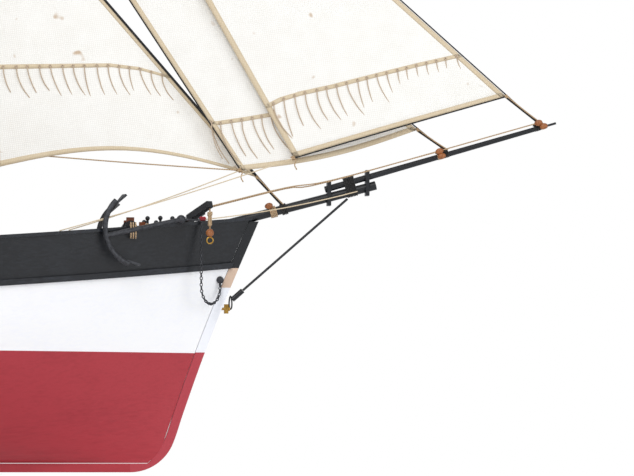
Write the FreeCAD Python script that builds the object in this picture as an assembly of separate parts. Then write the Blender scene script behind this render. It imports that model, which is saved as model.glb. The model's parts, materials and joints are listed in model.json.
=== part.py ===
import FreeCAD, Part
import math
import os

# Display model of a two-masted gaff schooner on a wooden cradle stand.
# Millimetres. +X is the bow, +Y is port, +Z is up. The origin is the centre of the stand's underside.

V = FreeCAD.Vector
X_AXIS = V(1, 0, 0)
Y_AXIS = V(0, 1, 0)
Z_AXIS = V(0, 0, 1)

# driving dimensions
fit_gap = 0.3            # glue line or air between separate pieces that only rest on each other
running_gap = 0.06       # radial clearance of a turning fit

# stand
base_length = 360.0
base_width = 132.0
base_height = 10.0
crutch_thickness = 10.0
crutch_height = 40.0     # top of the crutch above the base
crutch_half_width = 58.0
crutch_fore_x = 120.0
crutch_aft_x = -130.0
felt_thickness = 1.2
keel_clear = 18.0        # keel underside above the base
screw_radius = 2.0
screw_length = 16.0
screw_y = 30.0
screw_sunk = 1.0         # head below the base's underside

# hull
hull_beam = 190.0
stem_head_x = 430.0      # foremost point of the stem
stern_rail_x = -412.0
keel_bottom_z = base_height + keel_clear
keel_height = 6.0
keel_thickness = 6.0
stem_moulded = 6.5
stem_rake = 0.385        # forward travel for each unit up
stem_hollow = 2.2
stem_head_above_keel = 159.7
forefoot_x = 348.0
forefoot_radius = 29.9
stern_post_x = -305.0    # aft end of the lower planking
counter_start = 84.0     # above the rabbet, where the counter leaves the stern post
rail_low = 137.0         # cap rail above the keel's underside at its lowest place
rail_low_x = -60.0
rail_bow_rise = 28.0
rail_stern_rise = 13.0
waterline_above_keel = 77.0
full_beam_above_rabbet = 86.0
beam_x = -10.0
transom_half = 52.0
counter_knuckle = 0.5    # share of the counter's height where it turns up into the transom
counter_share = 0.9      # share of the overhang reached there
counter_flare = 1.2
bilge_power = 2.2        # how hard the fullest section turns at the bilge
flare_power = 0.6
bow_power = 1.45         # fullness of the level lines forward: at the keel, then its growth up to the rail
bow_power_rise = 1.45
stern_power = 1.5        # the same, aft
stern_power_rise = 0.9
fairing_height = 150.0   # above the rabbet, where that growth ends
plank = 2.5
band_depth = 32.0        # black band below the rail, with its moulding
strake_height = 3.6
strake_proud = 1.3
cap_height = 2.2
cap_overhang = 1.2
deck_drop = 16.0
deck_thickness = 1.6
bulkhead_thickness = 4.0
bulkhead_xs = (-260.0, -190.0, -110.0, -20.0, 60.0, 150.0, 260.0, 330.0)
false_keel_thickness = 5.0
false_keel_height = 24.0

# rudder and steering
rudder_chord = 38.0
rudder_thickness = 4.0
stock_radius = 2.4
rudder_gap = 1.8
rudder_below_counter = 10.0
rudder_step = 22.0       # height of the cut-away aft corner, and of the stock inside the counter
gudgeon_wall = 1.4
pintle_heights = (16.0, 44.0, 72.0)
gudgeon_height = 4.0
wheel_x = -322.0
wheel_radius = 12.0
wheel_axle_radius = 1.5
wheel_rim = 1.0
wheel_rim_share = 0.78   # rim's radius as a share of the wheel's, where the handles end
wheel_stand_off = 3.0    # from the box to the wheel's middle
axle_seat = 4.0          # axle below the box's top, and wood behind its end
hub_radius = 2.4
spoke_radius = 0.6
spoke_count = 8
wheel_box_size = (16.0, 22.0, 18.0)

# deck furniture
windlass_x = 347.0
windlass_axis_height = 17.0
windlass_radius = 4.6
windlass_half = 15.0
windlass_shaft_radius = 1.6
bitt_size = 5.0
warping_head = 5.5       # length of each warping head
warping_radius = 3.6
pawl_size = 4.0
hatch_x = 125.0
hatch_size = (44.0, 34.0, 7.0)
fore_hatch_x = 275.0
fore_hatch_size = (24.0, 22.0, 6.0)
companion_x = -215.0
companion_size = (58.0, 40.0, 15.0)
hatch_lid = 2.2
lid_overhang = 1.5

# masts, in their own upright frame until they are raked
mast_rake = 2.5
mast_radius = 5.5
topmast_radius = 3.4
fore_x = 215.0
main_x = -75.0
fore_lower_head = 472.0  # above the keel's underside
fore_top_head = 660.0
main_lower_head = 502.0
main_top_head = 700.0
doubling = 56.0
mast_cap_thickness = 4.0
mast_cap_margin = 3.0    # wood around the spars in a cap, and the crosstrees' thickness
crosstree_half = 22.0

# bowsprit and jib-boom
bowsprit_radius = 2.9
bowsprit_heel_x = 362.0
bowsprit_gammon = (422.5, 164.1)   # a point of its axis: x, and height above the keel's underside
bowsprit_steeve = 14.8
bowsprit_end_x = 507.6
jib_boom_radius = 2.1
jib_boom_tip_radius = 1.5
jib_boom_heel_x = 474.5
jib_boom_end_x = 620.0
jib_boom_steeve = 16.3
jib_boom_pin = 6.0
iron_xs = (477.0, 502.0)
iron_thickness = 2.4
iron_margin = 2.5        # above and below the spars
iron_side = 1.6

# fore and aft sails, in the mast's own frame: x aft is negative, heights above the keel's underside
sail_thickness = 1.0
boom_radius = 3.2
gaff_radius = 2.6
jaw_gap = 0.5
jaw_wall = 1.8
jaw_half = 2.5
gaff_jaw_half = 7.0
boom_height = 176.0
fore_boom_length = 246.0
fore_gaff_length = 142.0
fore_throat_height = 372.0
main_boom_length = 395.0
main_gaff_length = 225.0
main_throat_height = 408.0
gaff_angle = 36.0
hoop_count = 7
hoop_thickness = 1.0
hoop_margin = 14.0       # from the boom and the gaff to the nearest hoop
peak_legs = ((0.45, 22.0), (0.75, 16.0))   # share of the gaff, drop below the masthead
sail_belly = 9.0
boom_rise = 4.0          # degrees above square to the mast
fore_sheet_out = 148.0   # sheet tackle's distance from its mast
main_sheet_out = 205.0
horse_height = 9.0
horse_swing = 15.0       # half angle of the horse's arc
sheet_block = (4.4, 3.0, 6.0)
tackle_wire = 0.5        # ring that slides on the horse
tackle_spread = 1.2      # rope legs from the middle
horse_radius = 1.0

# headsails: distances along each stay from its lower end, then the clew
stay_radius = 0.45
staysail_stay_low_x = 446.5
jib_stay_low_x = 553.5
flying_stay_low_x = 614.9
staysail_stay_high = 448.0
jib_stay_high = 489.0
flying_stay_high = 594.0
staysail_span = (24.0, 296.0)
jib_span = (23.0, 388.0)
flying_span = (28.0, 465.0)
staysail_clew = (260.0, -8.0, 196.0)
jib_clew = (418.6, -12.0, 195.0)
flying_clew = (453.0, -17.0, 202.8)
staysail_shape = (5.0, -14.0)      # belly, then the foot's round below a straight line
jib_shape = (6.0, 5.0)
flying_shape = (7.0, 0.0)
head_width = 4.0
sail_short = 5.0         # how far a sail stops short of its boom and gaff ends

# standing rigging
shroud_radius = 0.5
shroud_count = 3
shroud_spacing = 17.0
deadeye_radius = 3.0
deadeye_thickness = 2.4
deadeye_gap = 14.0
chain_plate_length = 10.0   # below the black band
chain_plate_radius = 0.8
channel_drop = 4.0       # below the cap rail
channel_margin = 3.0     # board beyond the deadeyes
channel_thickness = 2.4
lanyard_spread = 1.3
shroud_step = 7.0        # between the upper ends, down the mast
hounds_drop = 4.0        # below the topmast's heel

# bow fittings
bobstay_radius = 0.8
bobstay_spar_x = 489.4
bobstay_stem_height = 111.8
heart_length = 9.0
heart_radius = 1.7
cathead_size = 4.2
cathead_root_x = 385.0
cathead_run = (12.0, 15.0, 8.0)     # forward, outboard, up
cathead_inboard = 5.0
cat_eye = (1.3, 0.4)     # ring radius and wire
cat_strop = (12.0, 0.5)  # length and radius
cat_ball = 2.6
cat_hook = (2.0, 0.45)
anchor_crown_x = 330.0
anchor_shank = 54.0
crown_below_rail = 5.0
ring_above_rail = 2.0
anchor_link = (13.0, 0.8)   # rod beyond the ring boss
palm_length = 9.0
palm_thickness = 1.4
anchor_iron = 1.7
anchor_arm_radius = 24.0
anchor_arm_angle = 118.0
palm_half = 3.0
anchor_off = 4.7         # from the planking to the anchor's middle plane
chain_radius = 1.1
chain_top = (7.5, 3.0, 3.5)   # ahead of the cathead's root, below the rail, off the planking
chain_eye_height = 122.0
chain_eye = (8.0, 2.2, 2.5)   # behind the stem, off the planking, above where the chain turns
line_radius = 0.35
jib_sheet_x = 306.0      # where the sheets reach the rail
flying_sheet_x = 300.0
sheet_sag = 1.5
guy_sag = (2.0, 4.0)     # starboard, port
bow_pin_rail_x = 366.0
pin_rail_aft = 6.0       # behind each mast's axis
pin_rail_half = 13.0
pin_rail_width = 8.5
pin_rail_thickness = 2.0
pin_spacing = 8.0
pin_half = 7.0
pin_radius = 0.8
pin_ball = 1.5

# heights and hull shape
rabbet_z = keel_bottom_z + keel_height
waterline_z = keel_bottom_z + waterline_above_keel
stem_head_z = keel_bottom_z + stem_head_above_keel
hull_top_z = keel_bottom_z + rail_low + rail_bow_rise + 12.0
half_beam = hull_beam / 2
keel_half = keel_thickness / 2
rail_bow_x = stem_head_x - stem_moulded
slab_reach = hull_beam   # half length of a cutting slab across the hull
cutter_over = 5.0        # how far a cutting hull form stands above the plain one
far = 1.5 * (stem_head_x - stern_rail_x)   # beyond the ship on every side


def rail_z(x):
    """Top of the cap rail."""
    if x > rail_low_x:
        rise = rail_bow_rise * ((x - rail_low_x) / (rail_bow_x - rail_low_x)) ** 2
    else:
        rise = rail_stern_rise * ((x - rail_low_x) / (stern_rail_x - rail_low_x)) ** 2
    return keel_bottom_z + rail_low + rise


def deck_z(x):
    """Walking surface of the deck."""
    return rail_z(x) - deck_drop


def band_z(x):
    """Lower edge of the black band and its moulding."""
    return rail_z(x) - band_depth


def stem_x(z):
    """Front edge of the stem and forefoot."""
    turn_z = keel_bottom_z + forefoot_radius * (1 - stem_rake / math.hypot(1, stem_rake))
    if z <= turn_z:
        drop = keel_bottom_z + forefoot_radius - z
        return forefoot_x + math.sqrt(max(forefoot_radius ** 2 - drop ** 2, 0.0))
    line = stem_head_x - stem_rake * (stem_head_z - z)
    return line - stem_hollow * math.sin(math.pi * min((z - turn_z) / (stem_head_z - turn_z), 1.0))


def bow_end(z):
    """Plank ends at the stem."""
    return stem_x(z) - stem_moulded


def stern_end(z):
    """Plank ends at the stern post, counter and transom: x and half width."""
    counter_z = rabbet_z + counter_start
    if z <= counter_z:
        return stern_post_x, keel_half
    top = keel_bottom_z + rail_low + rail_stern_rise
    t = (z - counter_z) / (top - counter_z)
    run = stern_post_x - stern_rail_x
    if t < counter_knuckle:
        swing = math.sin(t / counter_knuckle * math.pi / 2)
        width = keel_half + (transom_half - keel_half) * swing ** counter_flare
        return stern_post_x - run * counter_share * swing, width
    rake = (t - counter_knuckle) / (1 - counter_knuckle)
    return stern_post_x - run * (counter_share + (1 - counter_share) * rake), transom_half


def full_half(z):
    """Half-breadth of the fullest section."""
    u = min(max((z - rabbet_z) / full_beam_above_rabbet, 0.0), 1.0)
    return max(half_beam * (1 - (1 - u) ** bilge_power) ** flare_power, keel_half)


def half_breadth(x, z):
    """Outside of the planking, half the hull's width at a place."""
    full = full_half(z)
    rise = min(max((z - rabbet_z) / fairing_height, 0.0), 1.0)
    if x >= beam_x:
        bow = bow_end(z)
        s = min(max((bow - x) / (bow - beam_x), 0.0), 1.0)
        power = bow_power + bow_power_rise * rise
        return keel_half + (full - keel_half) * (1 - (1 - s) ** power)
    end, width = stern_end(z)
    width = min(width, full)
    s = min(max((x - end) / (beam_x - end), 0.0), 1.0)
    power = stern_power + stern_power_rise * rise
    return width + (full - width) * (1 - (1 - s) ** power)


def spline(points):
    curve = Part.BSplineCurve()
    curve.interpolate(points)
    return curve.toShape()


def waterline(z, inset):
    """Closed level curve of the hull, drawn in from its outside by inset."""
    low = z - inset
    bow = bow_end(low) - inset
    stern = stern_end(low)[0] + inset
    steps = 14
    side = []
    for i in range(steps + 1):
        t = 0.5 - 0.5 * math.cos(math.pi * i / steps)
        x = stern + (bow - stern) * t
        side.append(V(x, max(half_breadth(x, low) - inset, 0.6), z))
    other = [V(p.x, -p.y, p.z) for p in reversed(side)]
    edges = [
        spline(side),
        Part.LineSegment(side[-1], other[0]).toShape(),
        spline(other),
        Part.LineSegment(other[-1], side[0]).toShape(),
    ]
    return Part.Wire(edges)


def hull_form(inset, top=0.0):
    """Solid hull, from the rabbet to above the rail, drawn in by inset."""
    heights = (0.0, 4.0, 10.0, 20.0, 34.0, 52.0, 70.0, 84.0, 97.0, 110.0, 124.0, 140.0, 155.0)
    start = rabbet_z + max(inset, 0.0)
    last = hull_top_z + top
    levels = [start + h for h in heights] + [last]
    return Part.makeLoft([waterline(z, inset) for z in levels], True)


def slab(lower, upper, x_from, x_to):
    """Everything between two sheer lines, across the whole hull."""
    steps = 12
    xs = [x_from + (x_to - x_from) * i / steps for i in range(steps + 1)]
    low = [V(x, -slab_reach, lower(x)) for x in xs]
    high = [V(x, -slab_reach, upper(x)) for x in reversed(xs)]
    edges = [
        spline(low),
        Part.LineSegment(low[-1], high[0]).toShape(),
        spline(high),
        Part.LineSegment(high[-1], low[0]).toShape(),
    ]
    return Part.Face(Part.Wire(edges)).extrude(V(0, 2 * slab_reach, 0))


def box(x0, x1, y0, y1, z0, z1):
    return Part.makeBox(x1 - x0, y1 - y0, z1 - z0, V(x0, y0, z0))


def rod(p, q, radius, end_radius=None):
    """Round bar from p to q, tapered if it has an end radius."""
    d = q - p
    if end_radius is None or abs(end_radius - radius) < 1e-6:
        return Part.makeCylinder(radius, d.Length, p, d)
    return Part.makeCone(radius, end_radius, d.Length, p, d)


def unit(vector):
    return vector * (1 / vector.Length)


def bent_rod(start, middle, end, radius):
    """Round bar along the arc through three points."""
    arc = Part.Arc(start, middle, end)
    ring = Part.Wire(Part.makeCircle(radius, start, arc.tangent(arc.FirstParameter)[0]))
    return Part.Wire(arc.toShape()).makePipeShell([ring], True, False)


def cord(p, q, radius, sag=0.0, gap=fit_gap):
    """Line from p to q, short of both by a gap, hanging in an arc if it has a sag."""
    d = unit(q - p)
    a = p + d * gap
    b = q - d * gap
    if sag == 0.0:
        return rod(a, b, radius)
    return bent_rod(a, (a + b) * 0.5 - Z_AXIS * sag, b, radius)


def mirrored(shape):
    return shape.mirror(V(0, 0, 0), Y_AXIS)


def both(shape):
    return [shape, mirrored(shape)]


def solids(shape):
    return list(shape.Solids)


def group(shapes):
    """All the separate solids of some shapes, as one compound."""
    found = []
    for shape in shapes:
        found.extend(solids(shape))
    return Part.makeCompound(found)


def largest(shape):
    return max(shape.Solids, key=lambda solid: solid.Volume)


def save(name, *shapes):
    made = group(shapes)
    made.exportStep("parts/" + name + ".step")
    print(name, len(made.Solids), "solids", round(made.Volume, 1), "mm3", made.isValid())


# hull
def keel_pieces():
    """Keel, stem post and stern post: timbers outside the planking."""
    keel = box(stern_post_x - stem_moulded, forefoot_x, -keel_half, keel_half,
               keel_bottom_z, rabbet_z - fit_gap)
    steps = 10
    top = rail_z(rail_bow_x) - cap_height - fit_gap
    turn = keel_bottom_z + forefoot_radius * (1 - stem_rake / math.hypot(1, stem_rake))
    arc = []
    for i in range(steps + 1):
        angle = math.acos(1 - (turn - keel_bottom_z) / forefoot_radius) * i / steps
        arc.append(V(forefoot_x + forefoot_radius * math.sin(angle), -keel_half,
                     keel_bottom_z + forefoot_radius * (1 - math.cos(angle))))
    front_heights = [turn + (top - turn) * i / steps for i in range(1, steps + 1)]
    front = arc + [V(stem_x(z), -keel_half, z) for z in front_heights]
    foot_z = rabbet_z - fit_gap
    back_heights = [foot_z + (top - foot_z) * i / steps for i in range(steps, -1, -1)]
    back = [V(bow_end(z) + fit_gap, -keel_half, z) for z in back_heights]
    foot = V(forefoot_x, -keel_half, foot_z)
    edges = [
        spline(front),
        Part.LineSegment(front[-1], back[0]).toShape(),
        spline(back),
    ]
    if (back[-1] - foot).Length > 0.01:
        edges.append(Part.LineSegment(back[-1], foot).toShape())
    edges.append(Part.LineSegment(foot, front[0]).toShape())
    stem = Part.Face(Part.Wire(edges)).extrude(V(0, keel_thickness, 0))
    post = box(stern_post_x - stem_moulded, stern_post_x - fit_gap, -keel_half, keel_half,
               rabbet_z, rabbet_z + counter_start - 2 * plank)
    return keel, stem, post


def hull_shells(outer, inner):
    """Bottom, topsides and bulwarks, cut from one shell along the waterline and the band."""
    shell = outer.cut(inner)
    below = box(-far, far, -slab_reach, slab_reach, 0, waterline_z)
    bottom = shell.common(below)
    topside_zone = slab(lambda x: waterline_z, band_z, -far, far)
    topside = shell.common(topside_zone)
    side = shell.common(slab(band_z, lambda x: rail_z(x) - cap_height, -far, far))
    transom_cut = stern_rail_x + 2 * stem_moulded + plank
    transom = side.common(box(-far, transom_cut, -slab_reach, slab_reach, 0, far))
    port = side.common(box(transom_cut, far, 0, slab_reach, 0, far))
    starboard = side.common(box(transom_cut, far, -slab_reach, 0, 0, far))
    return bottom, topside, transom, port, starboard


def rail_pieces(outer):
    """Cap rail and the rubbing strake under the black band."""
    cap_ring = hull_form(-cap_overhang, cutter_over).cut(hull_form(plank + cap_overhang, 2 * cutter_over))
    cap = cap_ring.common(slab(lambda x: rail_z(x) - cap_height, rail_z, -far, far))
    proud = hull_form(-strake_proud).cut(outer)
    strake = proud.common(slab(band_z, lambda x: band_z(x) + strake_height, -far, far))
    clear_of_stem = box(stem_x(rabbet_z), far, -keel_half - fit_gap, keel_half + fit_gap, 0, far)
    return cap.cut(clear_of_stem), strake.cut(clear_of_stem)


def interior(inner):
    """Deck, bulkheads and false keel."""
    well = hull_form(plank + fit_gap, cutter_over)
    deck = well.common(slab(lambda x: deck_z(x) - deck_thickness, deck_z, -far, far))
    hold = well.common(slab(lambda x: rabbet_z, lambda x: deck_z(x) - deck_thickness - fit_gap, -far, far))
    board_low = rabbet_z + plank + fit_gap
    board = box(stern_post_x + 2 * plank, forefoot_x - false_keel_height, -false_keel_thickness / 2,
                false_keel_thickness / 2, board_low, board_low + false_keel_height)
    slot = box(-far, far, -false_keel_thickness / 2 - fit_gap, false_keel_thickness / 2 + fit_gap,
               0, board_low + false_keel_height + fit_gap)
    frames = []
    for x in bulkhead_xs:
        half = bulkhead_thickness / 2
        frames.append(hold.common(box(x - half, x + half, -slab_reach, slab_reach, 0, far)).cut(slot))
    return deck, group(frames), board.common(well)


# masts and spars
def raked(shape, mast_x):
    """From a mast's own upright frame into the ship."""
    moved = shape.copy()
    moved.rotate(V(0, 0, 0), Y_AXIS, -mast_rake)
    moved.translate(V(mast_x, 0, keel_bottom_z))
    return moved


def mast_point(mast_x, height, forward=0.0, side=0.0):
    a = math.radians(mast_rake)
    return V(mast_x + forward * math.cos(a) - height * math.sin(a), side,
             keel_bottom_z + height * math.cos(a) + forward * math.sin(a))


def mast_x_at(mast_x, z):
    """Where a mast's axis is at a height in the ship."""
    return mast_x - (z - keel_bottom_z) * math.tan(math.radians(mast_rake))


def step_height():
    return keel_height + plank + 2 * fit_gap + false_keel_height


def topmast_forward():
    return mast_radius + topmast_radius + 2 * fit_gap


def mast_pieces(mast_x, lower_head, top_head):
    """Lower mast, topmast ahead of it, and the cap, crosstrees and heel band that join them."""
    lower = rod(V(0, 0, step_height()), V(0, 0, lower_head), mast_radius)
    heel = lower_head - doubling
    ahead = topmast_forward()
    top = rod(V(ahead, 0, heel), V(ahead, 0, lower_head + fit_gap), topmast_radius)
    upper = rod(V(ahead, 0, lower_head + fit_gap), V(ahead, 0, top_head),
                topmast_radius, 0.5 * topmast_radius)
    truck = Part.makeSphere(0.9 * topmast_radius, V(ahead, 0, top_head + 0.5 * topmast_radius))
    top = top.fuse([upper, truck])
    fittings = []
    for z in (heel + mast_cap_thickness, lower_head - 2 * mast_cap_thickness):
        plate = box(-mast_radius - mast_cap_margin, ahead + topmast_radius + mast_cap_margin,
                    -mast_radius - mast_cap_margin, mast_radius + mast_cap_margin,
                    z, z + mast_cap_thickness)
        plate = plate.cut(rod(V(0, 0, 0), V(0, 0, far), mast_radius + running_gap))
        plate = plate.cut(rod(V(ahead, 0, 0), V(ahead, 0, far), topmast_radius + running_gap))
        fittings.append(plate)
    tree_z = heel + 2 * mast_cap_thickness + fit_gap
    tree_end = -mast_radius - mast_cap_margin
    fore_tree_end = ahead + topmast_radius + mast_cap_margin
    for x in (tree_end - mast_cap_margin, fore_tree_end):
        fittings.append(box(x, x + mast_cap_margin, -crosstree_half, crosstree_half,
                            tree_z, tree_z + mast_cap_margin))
    return raked(lower, mast_x), raked(top, mast_x), raked(group(fittings), mast_x)


def spar_point(x, through, steeve, lift=0.0):
    """Point of an inclined spar's axis at a place along the ship."""
    return V(x, 0, through[1] + (x - through[0]) * math.tan(math.radians(steeve)) + lift)


bowsprit_through = (bowsprit_gammon[0], keel_bottom_z + bowsprit_gammon[1])
jib_boom_lift = (bowsprit_radius + jib_boom_radius + 2 * fit_gap) / math.cos(math.radians(bowsprit_steeve))
jib_boom_heel = spar_point(jib_boom_heel_x, bowsprit_through, bowsprit_steeve, jib_boom_lift)
jib_boom_through = (jib_boom_heel.x, jib_boom_heel.z)


def bowsprit_at(x):
    return spar_point(x, bowsprit_through, bowsprit_steeve)


def jib_boom_at(x):
    return spar_point(x, jib_boom_through, jib_boom_steeve)


def head_spars():
    """Bowsprit, jib-boom on top of it, and the two irons that hold them together."""
    sprit = rod(bowsprit_at(bowsprit_heel_x), bowsprit_at(bowsprit_end_x), bowsprit_radius)
    end = jib_boom_at(jib_boom_end_x)
    boom = rod(jib_boom_at(jib_boom_heel_x), end, jib_boom_radius, jib_boom_tip_radius)
    boom = boom.fuse(rod(end, jib_boom_at(jib_boom_end_x + jib_boom_pin), 0.5 * jib_boom_tip_radius))
    sprit_bore = rod(bowsprit_at(0), bowsprit_at(far), bowsprit_radius + running_gap)
    boom_bore = rod(jib_boom_at(0), jib_boom_at(far), jib_boom_radius + running_gap)
    irons = []
    for x in iron_xs:
        low = bowsprit_at(x).z - bowsprit_radius - iron_margin
        high = jib_boom_at(x).z + jib_boom_radius + iron_margin
        half = bowsprit_radius + iron_side
        plate = box(x - iron_thickness / 2, x + iron_thickness / 2, -half, half, low, high)
        irons.append(plate.cut(sprit_bore).cut(boom_bore))
    return sprit, boom, group(irons)


# sails
def cloth(corner, rows, columns):
    """Thin curved sheet from corner(u, v), with u from luff to leech and v from foot to head."""
    grid = [[corner(u / columns, v / rows) for v in range(rows + 1)] for u in range(columns + 1)]
    surface = Part.BSplineSurface()
    surface.interpolate(grid)
    face = surface.toShape()
    face.translate(V(0, -sail_thickness / 2, 0))
    return face.extrude(V(0, sail_thickness, 0))


def between(p, q, t):
    return p * (1 - t) + q * t


stays = {
    "staysail": (bowsprit_at(staysail_stay_low_x) + V(0, 0, bowsprit_radius + fit_gap), staysail_stay_high),
    "jib": (jib_boom_at(jib_stay_low_x) + V(0, 0, jib_boom_radius + fit_gap), jib_stay_high),
    "flying": (jib_boom_at(flying_stay_low_x) + V(0, 0, jib_boom_radius + fit_gap), flying_stay_high),
}


def stay_ends(name):
    """Lower end at the spar, upper end at the front of the foremast."""
    low, height = stays[name]
    if height < fore_lower_head:
        ahead = mast_radius
    else:
        ahead = topmast_forward() + topmast_radius
    if fore_lower_head - doubling < height < fore_lower_head:
        ahead = topmast_forward() + topmast_radius
    return low, mast_point(fore_x, height, ahead)


def stay_point(name, distance):
    low, high = stay_ends(name)
    return low + unit(high - low) * distance


def headsail(name, span, clew, belly, foot_round):
    """Triangular sail set on a stay: negative foot_round arches the foot upwards."""
    low, high = stay_ends(name)
    along = unit(high - low)
    below = unit(along.cross(Y_AXIS))
    if below.z > 0:
        below = below * -1
    edge = below * (stay_radius + fit_gap)
    tack = stay_point(name, span[0]) + edge
    head = stay_point(name, span[1]) + edge
    corner = V(clew[0], clew[1], keel_bottom_z + clew[2])
    head_aft = head - X_AXIS * head_width - Z_AXIS * head_width

    def place(u, v):
        p = between(between(tack, head, v), between(corner, head_aft, v), u)
        full = math.sin(math.pi * u) * (1 - v)
        return p + V(0, -belly * full, -foot_round * math.sin(math.pi * u) * (1 - v) ** 4)

    return cloth(place, 6, 6)


def gaff_sail(boom_length, gaff_length, throat, belly):
    """Four-sided sail between a boom and a gaff, in the mast's own frame."""
    luff_x = -(mast_radius + jaw_gap + hoop_thickness + fit_gap)
    rise = math.tan(math.radians(boom_rise))
    slope = math.radians(gaff_angle)
    foot_gap = boom_radius + 2 * fit_gap
    head_gap = gaff_radius + 2 * fit_gap
    tack = V(luff_x, 0, boom_height + foot_gap - luff_x * rise)
    clew = V(-boom_length + sail_short, 0, boom_height + foot_gap + boom_length * rise)
    start = V(luff_x, 0, throat - gaff_jaw_half - 2 * fit_gap)
    out = gaff_length - sail_short
    peak = V(-out * math.cos(slope), 0, throat + out * math.sin(slope) - head_gap / math.cos(slope))

    def place(u, v):
        p = between(between(tack, start, v), between(clew, peak, v), u)
        full = math.sin(math.pi * u) * math.sin(math.pi * v)
        return p + V(0, -belly * full, 0)

    return cloth(place, 5, 5)


def jaw(height, half):
    ring = rod(V(0, 0, height - half), V(0, 0, height + half), mast_radius + jaw_gap + jaw_wall)
    return ring.cut(rod(V(0, 0, 0), V(0, 0, far), mast_radius + jaw_gap))


def spar(length, radius, height, angle, half):
    """Boom or gaff with the ring that turns on the mast."""
    slope = math.radians(angle)
    d = V(-math.cos(slope), 0, math.sin(slope))
    clear = mast_radius + jaw_gap + radius * math.sin(slope) + 0.5 * fit_gap
    start = V(0, 0, height) + d * (clear / math.cos(slope))
    end = V(0, 0, height) + d * length
    return rod(start, end, radius, 0.8 * radius).fuse(jaw(height, half))


def sheet_tackle(out, low):
    """Two blocks and their rope between the boom and the horse, with the ring that slides along it."""
    top = boom_height + out * math.tan(math.radians(boom_rise)) - boom_radius - fit_gap
    depth, width, height = sheet_block
    upper = box(-out - depth / 2, -out + depth / 2, -width / 2, width / 2, top - height, top)
    ring_radius = horse_radius + tackle_wire + running_gap + 0.5
    ring = Part.makeTorus(ring_radius, tackle_wire, V(-out, 0, low), Y_AXIS)
    base = low + ring_radius + 0.5 * tackle_wire
    lower = box(-out - depth / 2, -out + depth / 2, -width / 2, width / 2, base, base + height)
    ropes = []
    for x in (-out - tackle_spread, -out + tackle_spread):
        foot = V(x, 0, base + height + fit_gap)
        ropes.append(rod(foot, V(x, 0, top - height - fit_gap), line_radius))
    return group([upper, lower.fuse(ring)] + ropes)


def horse_level(mast_x, out):
    """Height of a sheet horse in its mast's own frame."""
    x = mast_x_at(mast_x, deck_z(mast_x)) - out
    a = math.radians(mast_rake)
    return (deck_z(x) + horse_height - keel_bottom_z + out * math.sin(a)) / math.cos(a)


def horse(mast_x, out):
    """Bent iron bar across the deck, an arc round the mast, on two legs."""
    level = horse_level(mast_x, out)
    bar = Part.makeTorus(out, horse_radius, V(0, 0, level), Z_AXIS, -180, 180, 2 * horse_swing)
    bar.rotate(V(0, 0, level), Z_AXIS, 180 - horse_swing)
    bar = raked(bar, mast_x)
    legs = []
    for sign in (1, -1):
        angle = math.radians(180 + sign * horse_swing)
        top = mast_point(mast_x, level, out * math.cos(angle), out * math.sin(angle))
        legs.append(rod(V(top.x, top.y, deck_z(top.x) + 2 * fit_gap), top, horse_radius))
        legs.append(Part.makeSphere(horse_radius, top))
    return bar.fuse(legs)


def mast_hoops(throat):
    hoops = []
    first = boom_height + hoop_margin
    step = (throat - hoop_margin - first) / (hoop_count - 1)
    for i in range(hoop_count):
        hoops.append(Part.makeTorus(mast_radius + jaw_gap + 0.5 * hoop_thickness, 0.5 * hoop_thickness,
                                    V(0, 0, first + step * i)))
    return group(hoops)


def peak_halyards(gaff_length, throat, head):
    """Rope legs from the gaff to the masthead."""
    slope = math.radians(gaff_angle)
    legs = []
    for share, drop in peak_legs:
        out = gaff_length * share
        low = V(-out * math.cos(slope), 0, throat + out * math.sin(slope) + gaff_radius / math.cos(slope))
        legs.append(cord(low, V(-mast_radius, 0, head - drop), line_radius, 0.0, 2 * fit_gap))
    return group(legs)


def sail_gear(prefix, mast_x, boom_length, gaff_length, throat, head, out):
    save(prefix + "_boom", raked(spar(boom_length, boom_radius, boom_height, boom_rise, jaw_half), mast_x))
    save(prefix + "_gaff", raked(spar(gaff_length, gaff_radius, throat, gaff_angle, gaff_jaw_half), mast_x))
    save(prefix + "_sail", raked(gaff_sail(boom_length, gaff_length, throat, sail_belly), mast_x))
    hoops = raked(mast_hoops(throat), mast_x)
    halyards = raked(peak_halyards(gaff_length, throat, head), mast_x)
    save(prefix + "_hoops_and_halyards", hoops, halyards)
    save(prefix + "_sheet_tackle", raked(sheet_tackle(out, horse_level(mast_x, out)), mast_x))


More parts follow.
